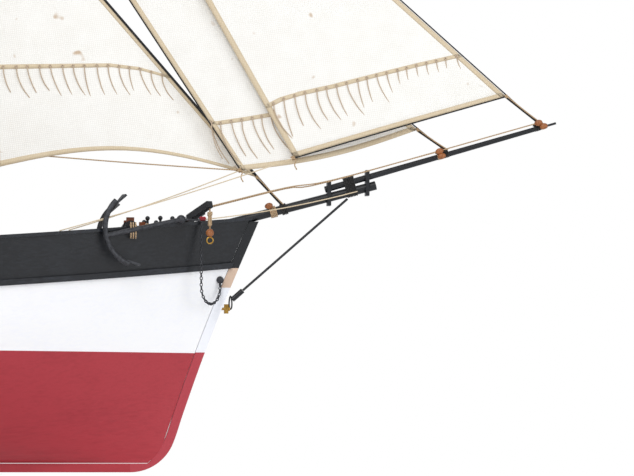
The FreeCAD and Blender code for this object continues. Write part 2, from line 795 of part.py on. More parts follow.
# standing rigging
def shroud_set(mast_x, lower_head):
    """Shrouds, deadeyes, lanyards, channels and chain plates of one mast, both sides."""
    shrouds, deadeyes, boards = [], [], []
    deck_x = mast_x_at(mast_x, deck_z(mast_x))
    first = deck_x + shroud_spacing * 0.5
    xs = [first - shroud_spacing * i for i in range(shroud_count)]
    level = rail_z(deck_x) - cap_height - channel_drop
    widest = max(half_breadth(x, level) for x in xs)
    eye_y = widest + deadeye_thickness + channel_margin
    board = box(xs[-1] - 2 * channel_margin, xs[0] + 2 * channel_margin, 0, eye_y + channel_margin,
                level - channel_thickness, level)
    boards.extend(both(board.cut(hull_form(-fit_gap))))
    hounds = lower_head - doubling - hounds_drop
    for i, x in enumerate(xs):
        low = V(x, eye_y, level + deadeye_radius + fit_gap)
        top = mast_point(mast_x, hounds - shroud_step * i, 0.0, mast_radius + shroud_radius + fit_gap)
        up = unit(top - low)
        high = low + up * (deadeye_gap + 2 * deadeye_radius)
        facing = unit(up.cross(X_AXIS))
        half = facing * (deadeye_thickness / 2)
        pieces = [rod(low - half, low + half, deadeye_radius), rod(high - half, high + half, deadeye_radius)]
        for shift in (-lanyard_spread, lanyard_spread):
            start = low + up * (0.95 * deadeye_radius) + X_AXIS * shift
            finish = high - up * (0.95 * deadeye_radius) + X_AXIS * shift
            pieces.append(cord(start, finish, line_radius))
        for piece in pieces:
            deadeyes.extend(both(piece))
        shrouds.extend(both(cord(high + up * deadeye_radius, top, shroud_radius)))
        foot_z = band_z(x) - chain_plate_length
        foot = V(x, half_breadth(x, foot_z) + strake_proud + 2.0, foot_z)
        head = V(x, eye_y, level - channel_thickness - fit_gap)
        deadeyes.extend(both(rod(foot, head, chain_plate_radius)))
    return shrouds, deadeyes, boards


# deck furniture
def windlass():
    """Barrel on its shaft, and the pair of bitts with bearings."""
    axis_z = deck_z(windlass_x) + windlass_axis_height
    centre = V(windlass_x, 0, axis_z)
    side = Y_AXIS
    barrel = rod(centre - side * windlass_half, centre + side * windlass_half, windlass_radius)
    head_start = windlass_half + bitt_size + 1.5
    shaft_half = head_start + warping_head
    shaft = rod(centre - side * shaft_half, centre + side * shaft_half, windlass_shaft_radius)
    ends = [rod(centre + side * (s * head_start), centre + side * (s * shaft_half), warping_radius)
            for s in (1, -1)]
    drum = barrel.fuse([shaft] + ends)
    bearing = rod(centre - side * far, centre + side * far, windlass_shaft_radius + running_gap)
    bitts = []
    for s in (1, -1):
        y = s * (windlass_half + 0.5 + bitt_size / 2)
        post = box(windlass_x - bitt_size / 2, windlass_x + bitt_size / 2,
                   y - bitt_size / 2, y + bitt_size / 2,
                   deck_z(windlass_x) + fit_gap, axis_z + 1.2 * bitt_size)
        bitts.append(post.cut(bearing))
    pawl_x = windlass_x + windlass_radius + 0.5 * pawl_size
    pawl = box(pawl_x, pawl_x + pawl_size, -0.6 * pawl_size, 0.6 * pawl_size,
               deck_z(pawl_x + pawl_size) + fit_gap, axis_z + pawl_size)
    return drum, group(bitts + [pawl])


def deck_box(x, size, lid):
    """Box-shaped deck fitting with a lid that overhangs its coaming."""
    length, width, height = size
    low = min(deck_z(x - length / 2), deck_z(x + length / 2))
    high = max(deck_z(x - length / 2), deck_z(x + length / 2)) + fit_gap
    sides = box(x - length / 2, x + length / 2, -width / 2, width / 2, low, high + height)
    ground = slab(lambda p: rabbet_z, lambda p: deck_z(p) + fit_gap, -far, far)
    over_x = length / 2 + lid_overhang
    over_y = width / 2 + lid_overhang
    lid_z = high + height + fit_gap
    cover = box(x - over_x, x + over_x, -over_y, over_y, lid_z, lid_z + lid)
    return sides.cut(ground), cover


def steering():
    """Wheel with rim, spokes and axle, and the box that carries it."""
    length, width, height = wheel_box_size
    base = deck_z(wheel_x - length) + fit_gap
    axis_z = base + height - axle_seat
    face_x = wheel_x - wheel_stand_off
    housing = box(face_x - length, face_x, -width / 2, width / 2, base, base + height)
    ground = slab(lambda p: rabbet_z, lambda p: deck_z(p) + fit_gap, -far, far)
    bore_end = V(face_x - length + axle_seat, 0, axis_z)
    bore = rod(bore_end, V(wheel_x + wheel_radius, 0, axis_z), wheel_axle_radius + running_gap)
    housing = housing.cut(ground).cut(bore)
    centre = V(wheel_x + 2, 0, axis_z)
    rim = Part.makeTorus(wheel_rim_share * wheel_radius, wheel_rim, centre, X_AXIS)
    hub = rod(centre - X_AXIS * (0.7 * hub_radius), centre + X_AXIS * (0.7 * hub_radius), hub_radius)
    axle = rod(bore_end + X_AXIS, centre, wheel_axle_radius)
    spokes = []
    for i in range(spoke_count):
        angle = math.radians(360 / spoke_count * (i + 0.5))
        d = V(0, math.cos(angle), math.sin(angle))
        spokes.append(rod(centre, centre + d * wheel_radius, spoke_radius))
    return rim.fuse([hub, axle] + spokes), housing


def rudder():
    """Blade and stock, with pintle pins, and the gudgeons on the stern post."""
    axis_x = stern_post_x - stem_moulded - rudder_gap - stock_radius
    blade_top = rabbet_z + counter_start - rudder_below_counter
    blade = box(axis_x - rudder_chord, axis_x, -rudder_thickness / 2, rudder_thickness / 2,
                keel_bottom_z + 1, blade_top)
    blade = blade.cut(box(-far, axis_x - 0.45 * rudder_chord, -far, far, blade_top - rudder_step, far))
    stock = rod(V(axis_x, 0, keel_bottom_z + 1), V(axis_x, 0, rabbet_z + counter_start + rudder_step),
                stock_radius)
    irons = []
    for height in pintle_heights:
        z = keel_bottom_z + height
        blade = blade.cut(box(axis_x - 2.2 * stock_radius, far, -far, far,
                              z - fit_gap, z + gudgeon_height + fit_gap))
        ring = rod(V(axis_x, 0, z), V(axis_x, 0, z + gudgeon_height), stock_radius + gudgeon_wall)
        arm = box(axis_x, stern_post_x - stem_moulded - fit_gap, -stock_radius, stock_radius,
                  z, z + gudgeon_height)
        ring = ring.fuse(arm).cut(rod(V(axis_x, 0, 0), V(axis_x, 0, far), stock_radius + running_gap))
        irons.append(ring)
    return blade.fuse(stock), group(irons), V(axis_x, 0, keel_bottom_z)


# bow fittings
def beam(p, q, width):
    """Square bar from p to q."""
    d = unit(q - p)
    side = unit(d.cross(Z_AXIS)) * (width / 2)
    up = unit(side.cross(d)) * (width / 2)
    ring = Part.makePolygon([p + side + up, p - side + up, p - side - up, p + side - up, p + side + up])
    return Part.Face(ring).extrude(q - p)


def cathead_ends():
    """Starboard cathead: inboard end on the rail and outboard end."""
    forward, outboard, up = cathead_run
    root = V(cathead_root_x, -half_breadth(cathead_root_x, rail_z(cathead_root_x)) + cathead_inboard,
             rail_z(cathead_root_x) + cathead_size / 2 + 2 * fit_gap)
    return root, root + V(forward, -outboard - cathead_inboard, up)


def cat_block():
    """Wooden block on its strop under the cathead, with a brass hook ring."""
    end = cathead_ends()[1]
    pivot = end - Z_AXIS * (cathead_size / 2 + 1.85 * cat_eye[0])
    strop_end = pivot - Z_AXIS * cat_strop[0]
    ball_centre = strop_end - Z_AXIS * (0.75 * cat_ball)
    strop = rod(pivot - Z_AXIS * (cat_eye[0] - 0.5), strop_end, cat_strop[1])
    block = Part.makeSphere(cat_ball, ball_centre)
    hook = Part.makeTorus(*cat_hook, ball_centre - Z_AXIS * (cat_ball + cat_hook[0] + 0.2), Y_AXIS)
    eye = Part.makeTorus(*cat_eye, pivot, X_AXIS)
    return strop.fuse([block, hook, eye])


def place_along(shape, p, q):
    """Move a shape drawn along +X with its top towards +Z onto the line from p to q."""
    d = unit(q - p)
    side = unit(Z_AXIS.cross(d))
    up = d.cross(side)
    moved = shape.copy()
    moved.Placement = FreeCAD.Placement(p, FreeCAD.Rotation(d, side, up, "XYZ"))
    return moved


def anchor_line():
    """Crown and ring end of the starboard anchor, lying along the rail."""
    crown_z = rail_z(anchor_crown_x) - crown_below_rail
    ring_x = anchor_crown_x + 0.93 * anchor_shank
    ring_z = rail_z(ring_x) + ring_above_rail
    crown = V(anchor_crown_x, -half_breadth(anchor_crown_x, crown_z) - anchor_off, crown_z)
    ring = V(ring_x, -half_breadth(ring_x, ring_z) - anchor_off, ring_z)
    return crown, ring


def anchor():
    """Iron anchor: shank, curved arms, palms, ring boss and shackle."""
    r = anchor_iron
    shank = rod(V(0, 0, 0), V(anchor_shank, 0, 0), r, 0.85 * r)
    half_angle = math.radians(anchor_arm_angle / 2)
    tip_x = anchor_arm_radius * (1 - math.cos(half_angle))
    tip_z = anchor_arm_radius * math.sin(half_angle)
    arms = bent_rod(V(tip_x, 0, tip_z), V(0, 0, 0), V(tip_x, 0, -tip_z), r)
    palms = []
    for s in (1, -1):
        tip = V(tip_x, 0, s * tip_z)
        inward = unit(V(anchor_arm_radius, 0, 0) - tip)
        along = V(-inward.z, 0, inward.x) * -s
        base = tip + inward * 0.5 * r - along * (palm_length * 7 / 9)
        point = base + along * palm_length
        wide = Y_AXIS * palm_half
        ring = Part.makePolygon([base - wide, base + wide, point, base - wide])
        palms.append(Part.Face(ring).extrude(inward * palm_thickness))
    boss = Part.makeSphere(1.7 * r, V(anchor_shank, 0, 0))
    link = rod(V(anchor_shank, 0, 0), V(anchor_shank + anchor_link[0], 0, -3), anchor_link[1])
    return shank.fuse([arms, boss, link] + palms)


def chain_route():
    """Down from the rail, round under its own weight, and up to the hawse eye."""
    top = V(cathead_root_x + chain_top[0], 0, rail_z(cathead_root_x) - chain_top[1])
    top.y = -half_breadth(top.x, top.z) - chain_top[2]
    eye_z = keel_bottom_z + chain_eye_height
    eye = V(stem_x(eye_z) - chain_eye[0], 0, eye_z)
    eye.y = -half_breadth(eye.x, eye.z) - chain_eye[1]
    turn_z = eye.z - chain_eye[2]
    left = V(top.x, top.y, turn_z)
    right = V(eye.x, eye.y, turn_z)
    middle = (left + right) * 0.5 - Z_AXIS * ((right - left).Length / 2)
    return top, left, middle, right, eye


def chain():
    top, left, middle, right, eye = chain_route()
    path = Part.Wire([Part.LineSegment(top, left).toShape(), Part.Arc(left, middle, right).toShape(),
                      Part.LineSegment(right, eye).toShape()])
    ring = Part.Wire(Part.makeCircle(chain_radius, top, Z_AXIS))
    return path.makePipeShell([ring], True, False)


def bobstay():
    """Wire from under the bowsprit to the stem, with its heart and eye plate."""
    spar_end = bowsprit_at(bobstay_spar_x) - Z_AXIS * (bowsprit_radius + bobstay_radius + 0.2)
    stem_z = keel_bottom_z + bobstay_stem_height
    plate_x = stem_x(stem_z - 5)
    plate = box(plate_x + 1.2, plate_x + 4.0, -1.2, 1.2, stem_z - 9, stem_z - 3)
    stem_end = V(plate_x + 6.5, 0, stem_z)
    d = unit(spar_end - stem_end)
    heart = rod(stem_end, stem_end + d * heart_length, heart_radius)
    wire = cord(stem_end + d * heart_length, spar_end, bobstay_radius)
    return group([wire, heart]), plate


def pin_rails():
    """Short rails inside the bulwarks with turned pins."""
    rails, pins = [], []
    well = hull_form(plank + cap_overhang + fit_gap, cutter_over)
    by_foremast = mast_x_at(fore_x, deck_z(fore_x)) - pin_rail_aft
    by_mainmast = mast_x_at(main_x, deck_z(main_x)) - pin_rail_aft
    for x in (bow_pin_rail_x, by_foremast, by_mainmast):
        z = rail_z(x) - cap_height - 0.4
        inside = half_breadth(x, z) - plank
        board = box(x - pin_rail_half, x + pin_rail_half, inside - pin_rail_width, inside + far,
                    z - pin_rail_thickness, z).common(well)
        for dx in (-pin_spacing, 0.0, pin_spacing):
            y = half_breadth(x + abs(dx), z) - plank - cap_overhang - 4.0
            y = min(y, half_breadth(x + dx + 1, z) - plank - cap_overhang - 3.4)
            ball = Part.makeSphere(pin_ball, V(x + dx, y, z + pin_half))
            pin = rod(V(x + dx, y, z - pin_half), V(x + dx, y, z + pin_half - 1), pin_radius).fuse(ball)
            bore = rod(V(x + dx, y, z - pin_half), V(x + dx, y, z + pin_half), pin_radius + running_gap)
            board = board.cut(bore)
            pins.extend(both(pin))
        rails.extend(both(board))
    return group(rails), group(pins)


def headsail_lines():
    """Sheets from the clews to the rail, and the bowsprit's side guys."""
    lines = []
    for clew, x in ((jib_clew, jib_sheet_x), (flying_clew, flying_sheet_x)):
        start = V(clew[0], clew[1], keel_bottom_z + clew[2])
        end = V(x, 1 - half_breadth(x, rail_z(x)), rail_z(x) + fit_gap)
        lines.append(cord(start + unit(end - start) * 2, end, line_radius, sheet_sag))
    guys = []
    root_x = cathead_root_x + 10
    for s, sag in zip((-1, 1), guy_sag):
        root = V(root_x, s * (half_breadth(root_x, rail_z(root_x)) - 2.0), rail_z(root_x) + 1.0)
        end = bowsprit_at(bowsprit_end_x - 12) + V(0, s * (bowsprit_radius + 0.4), -1)
        guys.append(cord(root, end, line_radius, sag))
    return group(lines), group(guys)


# stand
def stand():
    """Base board, two crutches cut to the hull, felt in their seats, and screws from below."""
    base = box(-base_length / 2, base_length / 2, -base_width / 2, base_width / 2, 0, base_height)
    seat = hull_form(-fit_gap - felt_thickness)
    rest = hull_form(-fit_gap)
    crutches, felts, screws = [], [], []
    slot = box(-far, far, -keel_half - 1, keel_half + 1, keel_bottom_z - 1, rabbet_z + 12)
    for x in (crutch_fore_x, crutch_aft_x):
        half = crutch_thickness / 2
        board = box(x - half, x + half, -crutch_half_width, crutch_half_width,
                    base_height + fit_gap, base_height + crutch_height)
        lip = box(x - half, x + half, -crutch_half_width - 9, crutch_half_width + 9,
                  base_height, base_height + crutch_height)
        felt = seat.cut(rest).common(lip).cut(slot)
        crutch = board.cut(seat).cut(slot)
        for y in (-screw_y, screw_y):
            low = V(x, y, screw_sunk)
            shoulder = V(x, y, screw_sunk + screw_radius)
            tip = V(x, y, screw_sunk + screw_length)
            below = V(x, y, -1)
            screws.append(rod(low, tip, screw_radius).fuse(rod(low, shoulder, 2 * screw_radius)))
            base = base.cut(rod(below, shoulder + Z_AXIS * fit_gap, 2 * screw_radius + fit_gap))
            bore = rod(below, tip + Z_AXIS * fit_gap, screw_radius + running_gap)
            base = base.cut(bore)
            crutch = crutch.cut(bore)
        crutches.append(crutch)
        felts.append(felt)
    return base, crutches, group(felts), group(screws)


# build
def build_hull():
    outer = hull_form(0.0)
    inner = hull_form(plank, cutter_over)
    sprit_hole = rod(bowsprit_at(0), bowsprit_at(far), bowsprit_radius + fit_gap)
    bottom, topside, transom, port, starboard = hull_shells(outer, inner)
    cap, strake = rail_pieces(outer)
    keel, stem, post = keel_pieces()
    deck, frames, board = interior(inner)
    for mast_x in (fore_x, main_x):
        hole = raked(rod(V(0, 0, 0), V(0, 0, far), mast_radius + fit_gap), mast_x)
        deck = deck.cut(hole)
        frames = frames.cut(hole)
    blade, gudgeons, axis = rudder()
    trunk = rod(V(axis.x, 0, 0), V(axis.x, 0, far), stock_radius + running_gap)
    save("bottom_planking", bottom)
    save("topside_planking", topside.cut(trunk))
    save("transom", transom)
    save("port_bulwark", port.cut(sprit_hole))
    save("starboard_bulwark", starboard.cut(sprit_hole))
    save("cap_rail", cap.cut(sprit_hole))
    save("rubbing_strake", strake)
    save("keel", keel)
    save("stem_post", largest(stem.cut(sprit_hole).cut(outer)))
    save("stern_post", largest(post.cut(outer)))
    save("deck", deck)
    save("bulkheads", frames)
    save("false_keel", board)
    save("rudder", blade)
    save("rudder_gudgeons", gudgeons)


def build_rig():
    mast_fittings = []
    for prefix, x, head, top in (("fore", fore_x, fore_lower_head, fore_top_head),
                                 ("main", main_x, main_lower_head, main_top_head)):
        lower, upper, fittings = mast_pieces(x, head, top)
        save(prefix + "_mast", lower)
        save(prefix + "_topmast", upper)
        mast_fittings.append(fittings)
    save("mast_caps", *mast_fittings)
    save("sheet_horses", horse(fore_x, fore_sheet_out), horse(main_x, main_sheet_out))
    sprit, boom, irons = head_spars()
    save("bowsprit", sprit)
    save("jib_boom", boom)
    save("boom_irons", irons)
    sail_gear("fore", fore_x, fore_boom_length, fore_gaff_length, fore_throat_height,
              fore_lower_head, fore_sheet_out)
    sail_gear("main", main_x, main_boom_length, main_gaff_length, main_throat_height,
              main_lower_head, main_sheet_out)
    save("fore_staysail", headsail("staysail", staysail_span, staysail_clew, *staysail_shape))
    save("inner_jib", headsail("jib", jib_span, jib_clew, *jib_shape))
    save("flying_jib", headsail("flying", flying_span, flying_clew, *flying_shape))
    stay_lines = [cord(*stay_ends(name), stay_radius) for name in stays]
    aft_end = mast_point(main_x, main_lower_head - 2, topmast_forward() + topmast_radius)
    fore_end = mast_point(fore_x, fore_lower_head - 2, -mast_radius)
    save("stays", cord(fore_end, aft_end, stay_radius), *stay_lines)
    shrouds, deadeyes, boards = [], [], []
    for x, head in ((fore_x, fore_lower_head), (main_x, main_lower_head)):
        parts = shroud_set(x, head)
        shrouds.extend(parts[0])
        deadeyes.extend(parts[1])
        boards.extend(parts[2])
    save("shrouds", *shrouds)
    save("deadeyes_and_chain_plates", *deadeyes)
    save("channels", *boards)


def build_fittings():
    drum, bitts = windlass()
    save("windlass_drum", drum)
    save("windlass_bitts", bitts)
    save("hatches", *deck_box(hatch_x, hatch_size, hatch_lid),
         *deck_box(fore_hatch_x, fore_hatch_size, hatch_lid))
    save("companion", *deck_box(companion_x, companion_size, hatch_lid))
    wheel, housing = steering()
    save("steering_wheel", wheel)
    save("wheel_box", housing)
    root, end = cathead_ends()
    save("catheads", *both(beam(root, end, cathead_size)))
    save("cat_block", cat_block())
    crown, ring = anchor_line()
    iron = place_along(anchor(), crown, ring)
    save("anchors", *both(iron))
    save("anchor_chain", chain())
    wire, plate = bobstay()
    save("bobstay", wire, plate)
    rails, pins = pin_rails()
    save("pin_rails", rails)
    save("belaying_pins", pins)
    sheets, guys = headsail_lines()
    save("headsail_sheets_and_guys", sheets, guys)


def build_stand():
    base, crutches, felts, screws = stand()
    save("stand_base", base)
    save("fore_crutch", crutches[0])
    save("aft_crutch", crutches[1])
    save("crutch_felts", felts)
    save("stand_screws", screws)


os.makedirs("parts", exist_ok=True)
build_hull()
build_rig()
build_fittings()
build_stand()
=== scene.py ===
import json
import math
import random

import bmesh
import bpy
from mathutils import Matrix, Vector
from mathutils.bvhtree import BVHTree

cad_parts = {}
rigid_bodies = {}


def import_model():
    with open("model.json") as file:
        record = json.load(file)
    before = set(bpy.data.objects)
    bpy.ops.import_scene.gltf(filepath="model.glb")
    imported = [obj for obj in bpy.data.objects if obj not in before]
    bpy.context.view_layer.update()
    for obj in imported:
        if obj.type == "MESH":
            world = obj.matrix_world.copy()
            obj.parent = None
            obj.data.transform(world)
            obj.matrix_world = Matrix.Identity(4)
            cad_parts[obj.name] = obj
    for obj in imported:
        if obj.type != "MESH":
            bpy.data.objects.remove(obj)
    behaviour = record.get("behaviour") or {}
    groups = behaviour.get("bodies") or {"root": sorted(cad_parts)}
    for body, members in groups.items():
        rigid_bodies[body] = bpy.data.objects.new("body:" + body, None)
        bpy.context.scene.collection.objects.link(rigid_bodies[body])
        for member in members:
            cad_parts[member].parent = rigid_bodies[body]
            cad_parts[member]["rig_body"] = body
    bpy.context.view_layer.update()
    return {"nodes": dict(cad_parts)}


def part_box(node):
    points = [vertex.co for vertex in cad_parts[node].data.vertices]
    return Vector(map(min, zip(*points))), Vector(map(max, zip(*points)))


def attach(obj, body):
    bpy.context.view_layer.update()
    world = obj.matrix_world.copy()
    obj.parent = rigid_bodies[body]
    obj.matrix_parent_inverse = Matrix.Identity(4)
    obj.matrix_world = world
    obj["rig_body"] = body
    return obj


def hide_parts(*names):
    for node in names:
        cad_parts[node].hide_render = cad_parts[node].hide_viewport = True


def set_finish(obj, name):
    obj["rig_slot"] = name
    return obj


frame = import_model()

nodes = frame["nodes"]
rng = random.Random(7)


# Materials

# sRGB hex to a linear RGBA colour
def linear(hexColour):
    def channel(c):
        c = c / 255
        return c / 12.92 if c <= 0.04045 else ((c + 0.055) / 1.055) ** 2.4
    return tuple(channel(int(hexColour[i:i + 2], 16)) for i in (1, 3, 5)) + (1,)


# one node; settings are its own fields, inputs are values or sockets to link
def addNode(tree, kind, settings=None, inputs=None):
    node = tree.nodes.new(kind)
    for name, value in (settings or {}).items():
        setattr(node, name, value)
    for name, value in (inputs or {}).items():
        socket = node.inputs[name]
        if isinstance(value, bpy.types.NodeSocket):
            tree.links.new(value, socket)
        else:
            socket.default_value = value
    return node


def newMaterial(name, **shader):
    material = bpy.data.materials.new(name)
    material.use_nodes = True
    tree = material.node_tree
    tree.nodes.clear()
    output = addNode(tree, "ShaderNodeOutputMaterial")
    bsdf = addNode(tree, "ShaderNodeBsdfPrincipled", None, shader)
    tree.links.new(bsdf.outputs[0], output.inputs[0])
    return material, tree, bsdf


# one math node on the given values or sockets
def maths(tree, operation, *values):
    return addNode(tree, "ShaderNodeMath", {"operation": operation}, dict(enumerate(values))).outputs[0]


# two patterns mixed, the first by its share and the second by the rest
def blend(tree, first, share, second):
    return maths(tree, "MULTIPLY_ADD", first, share, maths(tree, "MULTIPLY", second, 1 - share))


# colour ramp from (place, hex) pairs
def ramp(tree, factor, stops):
    node = addNode(tree, "ShaderNodeValToRGB", None, {"Fac": factor})
    points = node.color_ramp.elements
    while len(points) < len(stops):
        points.new(0.5)
    for point, (place, colour) in zip(points, stops):
        point.position = place
        point.color = linear(colour)
    return node.outputs["Color"]


def objectCoords(tree, scale=(1, 1, 1), turn=(0, 0, 0)):
    coords = addNode(tree, "ShaderNodeTexCoord")
    inputs = {"Vector": coords.outputs["Object"], "Scale": scale, "Rotation": turn}
    return addNode(tree, "ShaderNodeMapping", None, inputs).outputs[0]


# noise whose blobs are about size metres across
def noise(tree, vector, size, detail=3.0, roughness=0.5):
    inputs = {"Vector": vector, "Scale": 1 / size, "Detail": detail, "Roughness": roughness}
    return addNode(tree, "ShaderNodeTexNoise", None, inputs).outputs["Fac"]


def bumpFrom(tree, bsdf, height, distance):
    bump = addNode(tree, "ShaderNodeBump", None, {"Height": height, "Distance": distance, "Strength": 1.0})
    tree.links.new(bump.outputs[0], bsdf.inputs["Normal"])


def roughnessFrom(tree, bsdf, factor, low, high):
    spread = addNode(tree, "ShaderNodeMapRange", None, {"Value": factor, "To Min": low, "To Max": high})
    tree.links.new(spread.outputs[0], bsdf.inputs["Roughness"])


# hull enamel brushed on planked wood: long faint strokes along the planks, a soft sheen
def brushedPaint(name, base, worn, roughness, grain=0.00012):
    material, tree, bsdf = newMaterial(name, Roughness=roughness)
    along = objectCoords(tree, (0.04, 1, 1))
    strokes = noise(tree, along, 0.0016, 4, 0.6)
    patches = noise(tree, objectCoords(tree), 0.03, 2)
    colour = ramp(tree, blend(tree, strokes, 0.6, patches), ((0.3, worn), (0.55, base), (0.8, worn)))
    tree.links.new(colour, bsdf.inputs["Base Color"])
    roughnessFrom(tree, bsdf, strokes, roughness - 0.08, roughness + 0.12)
    bumpFrom(tree, bsdf, strokes, grain)
    return material


# oiled or varnished timber: grain lines run with the piece, darker pores, low gloss
def stainedWood(name, light, dark, along=(0.05, 1, 1), grainSize=0.0014, roughness=0.42):
    material, tree, bsdf = newMaterial(name, Roughness=roughness)
    stretched = objectCoords(tree, along)
    grain = noise(tree, stretched, grainSize, 5, 0.65)
    broad = noise(tree, stretched, grainSize * 7, 2)
    colour = ramp(tree, blend(tree, grain, 0.65, broad), ((0.35, dark), (0.6, light)))
    tree.links.new(colour, bsdf.inputs["Base Color"])
    roughnessFrom(tree, bsdf, grain, roughness - 0.1, roughness + 0.12)
    bumpFrom(tree, bsdf, grain, 0.0001)
    return material


# caulked deck planks: pale oiled wood with thin dark seams
def plankedDeck(name, light, dark, plankWidth=0.007, seamShare=0.05, seamColour="#3A2A1C"):
    material, tree, bsdf = newMaterial(name, Roughness=0.5)
    grain = noise(tree, objectCoords(tree, (0.05, 1, 1)), 0.0013, 5, 0.6)
    wood = ramp(tree, grain, ((0.35, dark), (0.65, light)))
    cross = addNode(tree, "ShaderNodeSeparateXYZ", None, {0: objectCoords(tree)}).outputs[1]
    lane = maths(tree, "PINGPONG", cross, plankWidth / 2)
    seam = maths(tree, "LESS_THAN", lane, plankWidth * seamShare)
    colour = addNode(tree, "ShaderNodeMix", {"data_type": "RGBA"},
                     {"Factor": seam, "A": wood, "B": linear(seamColour)})
    tree.links.new(colour.outputs["Result"], bsdf.inputs["Base Color"])
    roughnessFrom(tree, bsdf, grain, 0.42, 0.62)
    bumpFrom(tree, bsdf, seam, -0.0002)
    return material


# plain-weave cotton: crossed threads drawn coarser than real so that they show, matt with a slight sheen
def wovenCotton(name, light, dark, pitch, stains=None, roughness=0.85):
    material, tree, bsdf = newMaterial(name, Roughness=roughness)
    bsdf.inputs["Sheen Weight"].default_value = 0.15
    slanted = objectCoords(tree, (1, 1, 1), (0, math.radians(8), 0))
    # a wave node draws a band every 2 pi / 20 of its own units
    wave = {"Vector": slanted, "Scale": 2 * math.pi / (20 * pitch), "Distortion": 1.2, "Detail": 1.0,
            "Detail Scale": 0.5}
    warp, weft = (addNode(tree, "ShaderNodeTexWave", {"bands_direction": way}, wave).outputs["Fac"]
                  for way in "XZ")
    weave = maths(tree, "MULTIPLY", warp, weft)
    slub = noise(tree, slanted, 0.012, 3)
    colour = ramp(tree, blend(tree, weave, 0.55, slub), ((0.0, dark), (0.55, light)))
    if stains:
        spots = noise(tree, objectCoords(tree), 0.011, 1)
        mask = ramp(tree, spots, ((0.735, "#000000"), (0.79, "#FFFFFF")))
        colour = addNode(tree, "ShaderNodeMix", {"data_type": "RGBA"},
                         {"Factor": mask, "A": colour, "B": linear(stains)}).outputs["Result"]
    tree.links.new(colour, bsdf.inputs["Base Color"])
    bumpFrom(tree, bsdf, weave, 0.00008)
    return material


# laid rope: slanting strands round the line, one turn every lay metres; fuzzy and matt
def twistedLine(name, light, dark, lay):
    material, tree, bsdf = newMaterial(name, Roughness=0.9)
    bsdf.inputs["Sheen Weight"].default_value = 0.2
    along = addNode(tree, "ShaderNodeAttribute", {"attribute_name": "along"}).outputs["Fac"]
    around = addNode(tree, "ShaderNodeAttribute", {"attribute_name": "around"}).outputs["Fac"]
    strand = maths(tree, "PINGPONG", maths(tree, "MULTIPLY_ADD", along, 1 / lay, around), 0.5)
    colour = ramp(tree, strand, ((0.05, dark), (0.35, light)))
    tree.links.new(colour, bsdf.inputs["Base Color"])
    bumpFrom(tree, bsdf, strand, 0.0002)
    return material


# cast or forged metal: uneven oxide film over the surface, worn brighter in patches
def forgedMetal(name, base, dull, roughness, metallic=1.0, size=0.002):
    material, tree, bsdf = newMaterial(name, Roughness=roughness, Metallic=metallic)
    film = noise(tree, objectCoords(tree), size, 4, 0.6)
    tree.links.new(ramp(tree, film, ((0.35, base), (0.7, dull))), bsdf.inputs["Base Color"])
    roughnessFrom(tree, bsdf, film, roughness - 0.1, roughness + 0.2)
    bumpFrom(tree, bsdf, film, 0.0001)
    return material


# stem colours: flat colours one above the other, each from its height in metres upwards, up to rampTop
def bandedColours(name, bands, roughness, rampTop=0.25):
    material, tree, bsdf = newMaterial(name, Roughness=roughness)
    height = addNode(tree, "ShaderNodeSeparateXYZ", None, {0: objectCoords(tree)}).outputs[2]
    strokes = noise(tree, objectCoords(tree, (1, 1, 0.1)), 0.0015, 3)
    colour = ramp(tree, maths(tree, "MULTIPLY", height, 1 / rampTop),
                  [(z / rampTop, hexColour) for z, hexColour in bands])
    colour.node.color_ramp.interpolation = "CONSTANT"
    tree.links.new(colour, bsdf.inputs["Base Color"])
    bumpFrom(tree, bsdf, strokes, 0.00006)
    return material


print("materials")
blackPaint = brushedPaint("satinBlackEnamel", "#101216", "#1E2126", 0.38)
whitePaint = brushedPaint("satinWhiteEnamel", "#FFFFFF", "#FAFBFF", 0.42, 0.00005)
redPaint = brushedPaint("redBottomEnamel", "#B0303B", "#A22833", 0.40, 0.00008)
railPaint = brushedPaint("blackRailEnamel", "#15171B", "#2A2E36", 0.30, 0.00005)
# stem bands from the keel up: red, white darkened to a pale bluish tint as painted shade on the stem's face,
# a pale pinkish band, then black
stemBandsWithPaintedShade = ((0, "#B43C47"), (0.105, "#F4F6FB"), (0.147, "#D9BDA6"), (0.1595, "#15171B"))
stemColoursWithPaintedShade = bandedColours("bandedStemColoursWithPaintedShade", stemBandsWithPaintedShade, 0.42)
deckWood = plankedDeck("caulkedDeckPlanks", "#C9A877", "#A98455")
varnishedWood = stainedWood("varnishedMahogany", "#8A4A22", "#5A2A12", roughness=0.3)
standWood = stainedWood("varnishedStandWood", "#7A4520", "#4A2510", grainSize=0.003, roughness=0.3)
sparWood = stainedWood("oiledSparWood", "#B98550", "#8E5E34", along=(1, 1, 0.05))
boomWood = stainedWood("oiledBoomWood", "#B98550", "#8E5E34")
bareWood = stainedWood("bareBulkheadWood", "#CDB083", "#B09060", along=(1, 1, 0.1), roughness=0.7)
blockWood = stainedWood("orangeBoxwood", "#AC6A38", "#7A4422", along=(1, 1, 0.3), grainSize=0.0008,
                        roughness=0.4)
sailCotton = wovenCotton("bleachedSailCotton", "#FDFBF6", "#EEEAE1", 0.0013, "#CDB59B")
tapeCotton = wovenCotton("tanHemTape", "#E2D1B4", "#CDB895", 0.0011)
greenFelt = wovenCotton("greenFelt", "#2E6148", "#214A36", 0.002)
tanLine = twistedLine("tanCottonLine", "#CDB08A", "#9A7B58", 0.0016)
reefLine = twistedLine("reefPointThread", "#D6C2AA", "#B39C82", 0.0012)
blackLine = twistedLine("tarredLine", "#1C1A19", "#0C0B0B", 0.0018)
blackIron = forgedMetal("blackenedIron", "#3A3B3E", "#55565A", 0.5, 0.75)
agedBrass = forgedMetal("agedBrass", "#C39A4E", "#8E6A30", 0.32, 1.0, 0.003)
screwSteel = forgedMetal("screwSteel", "#9C9C9F", "#7F7F83", 0.35)


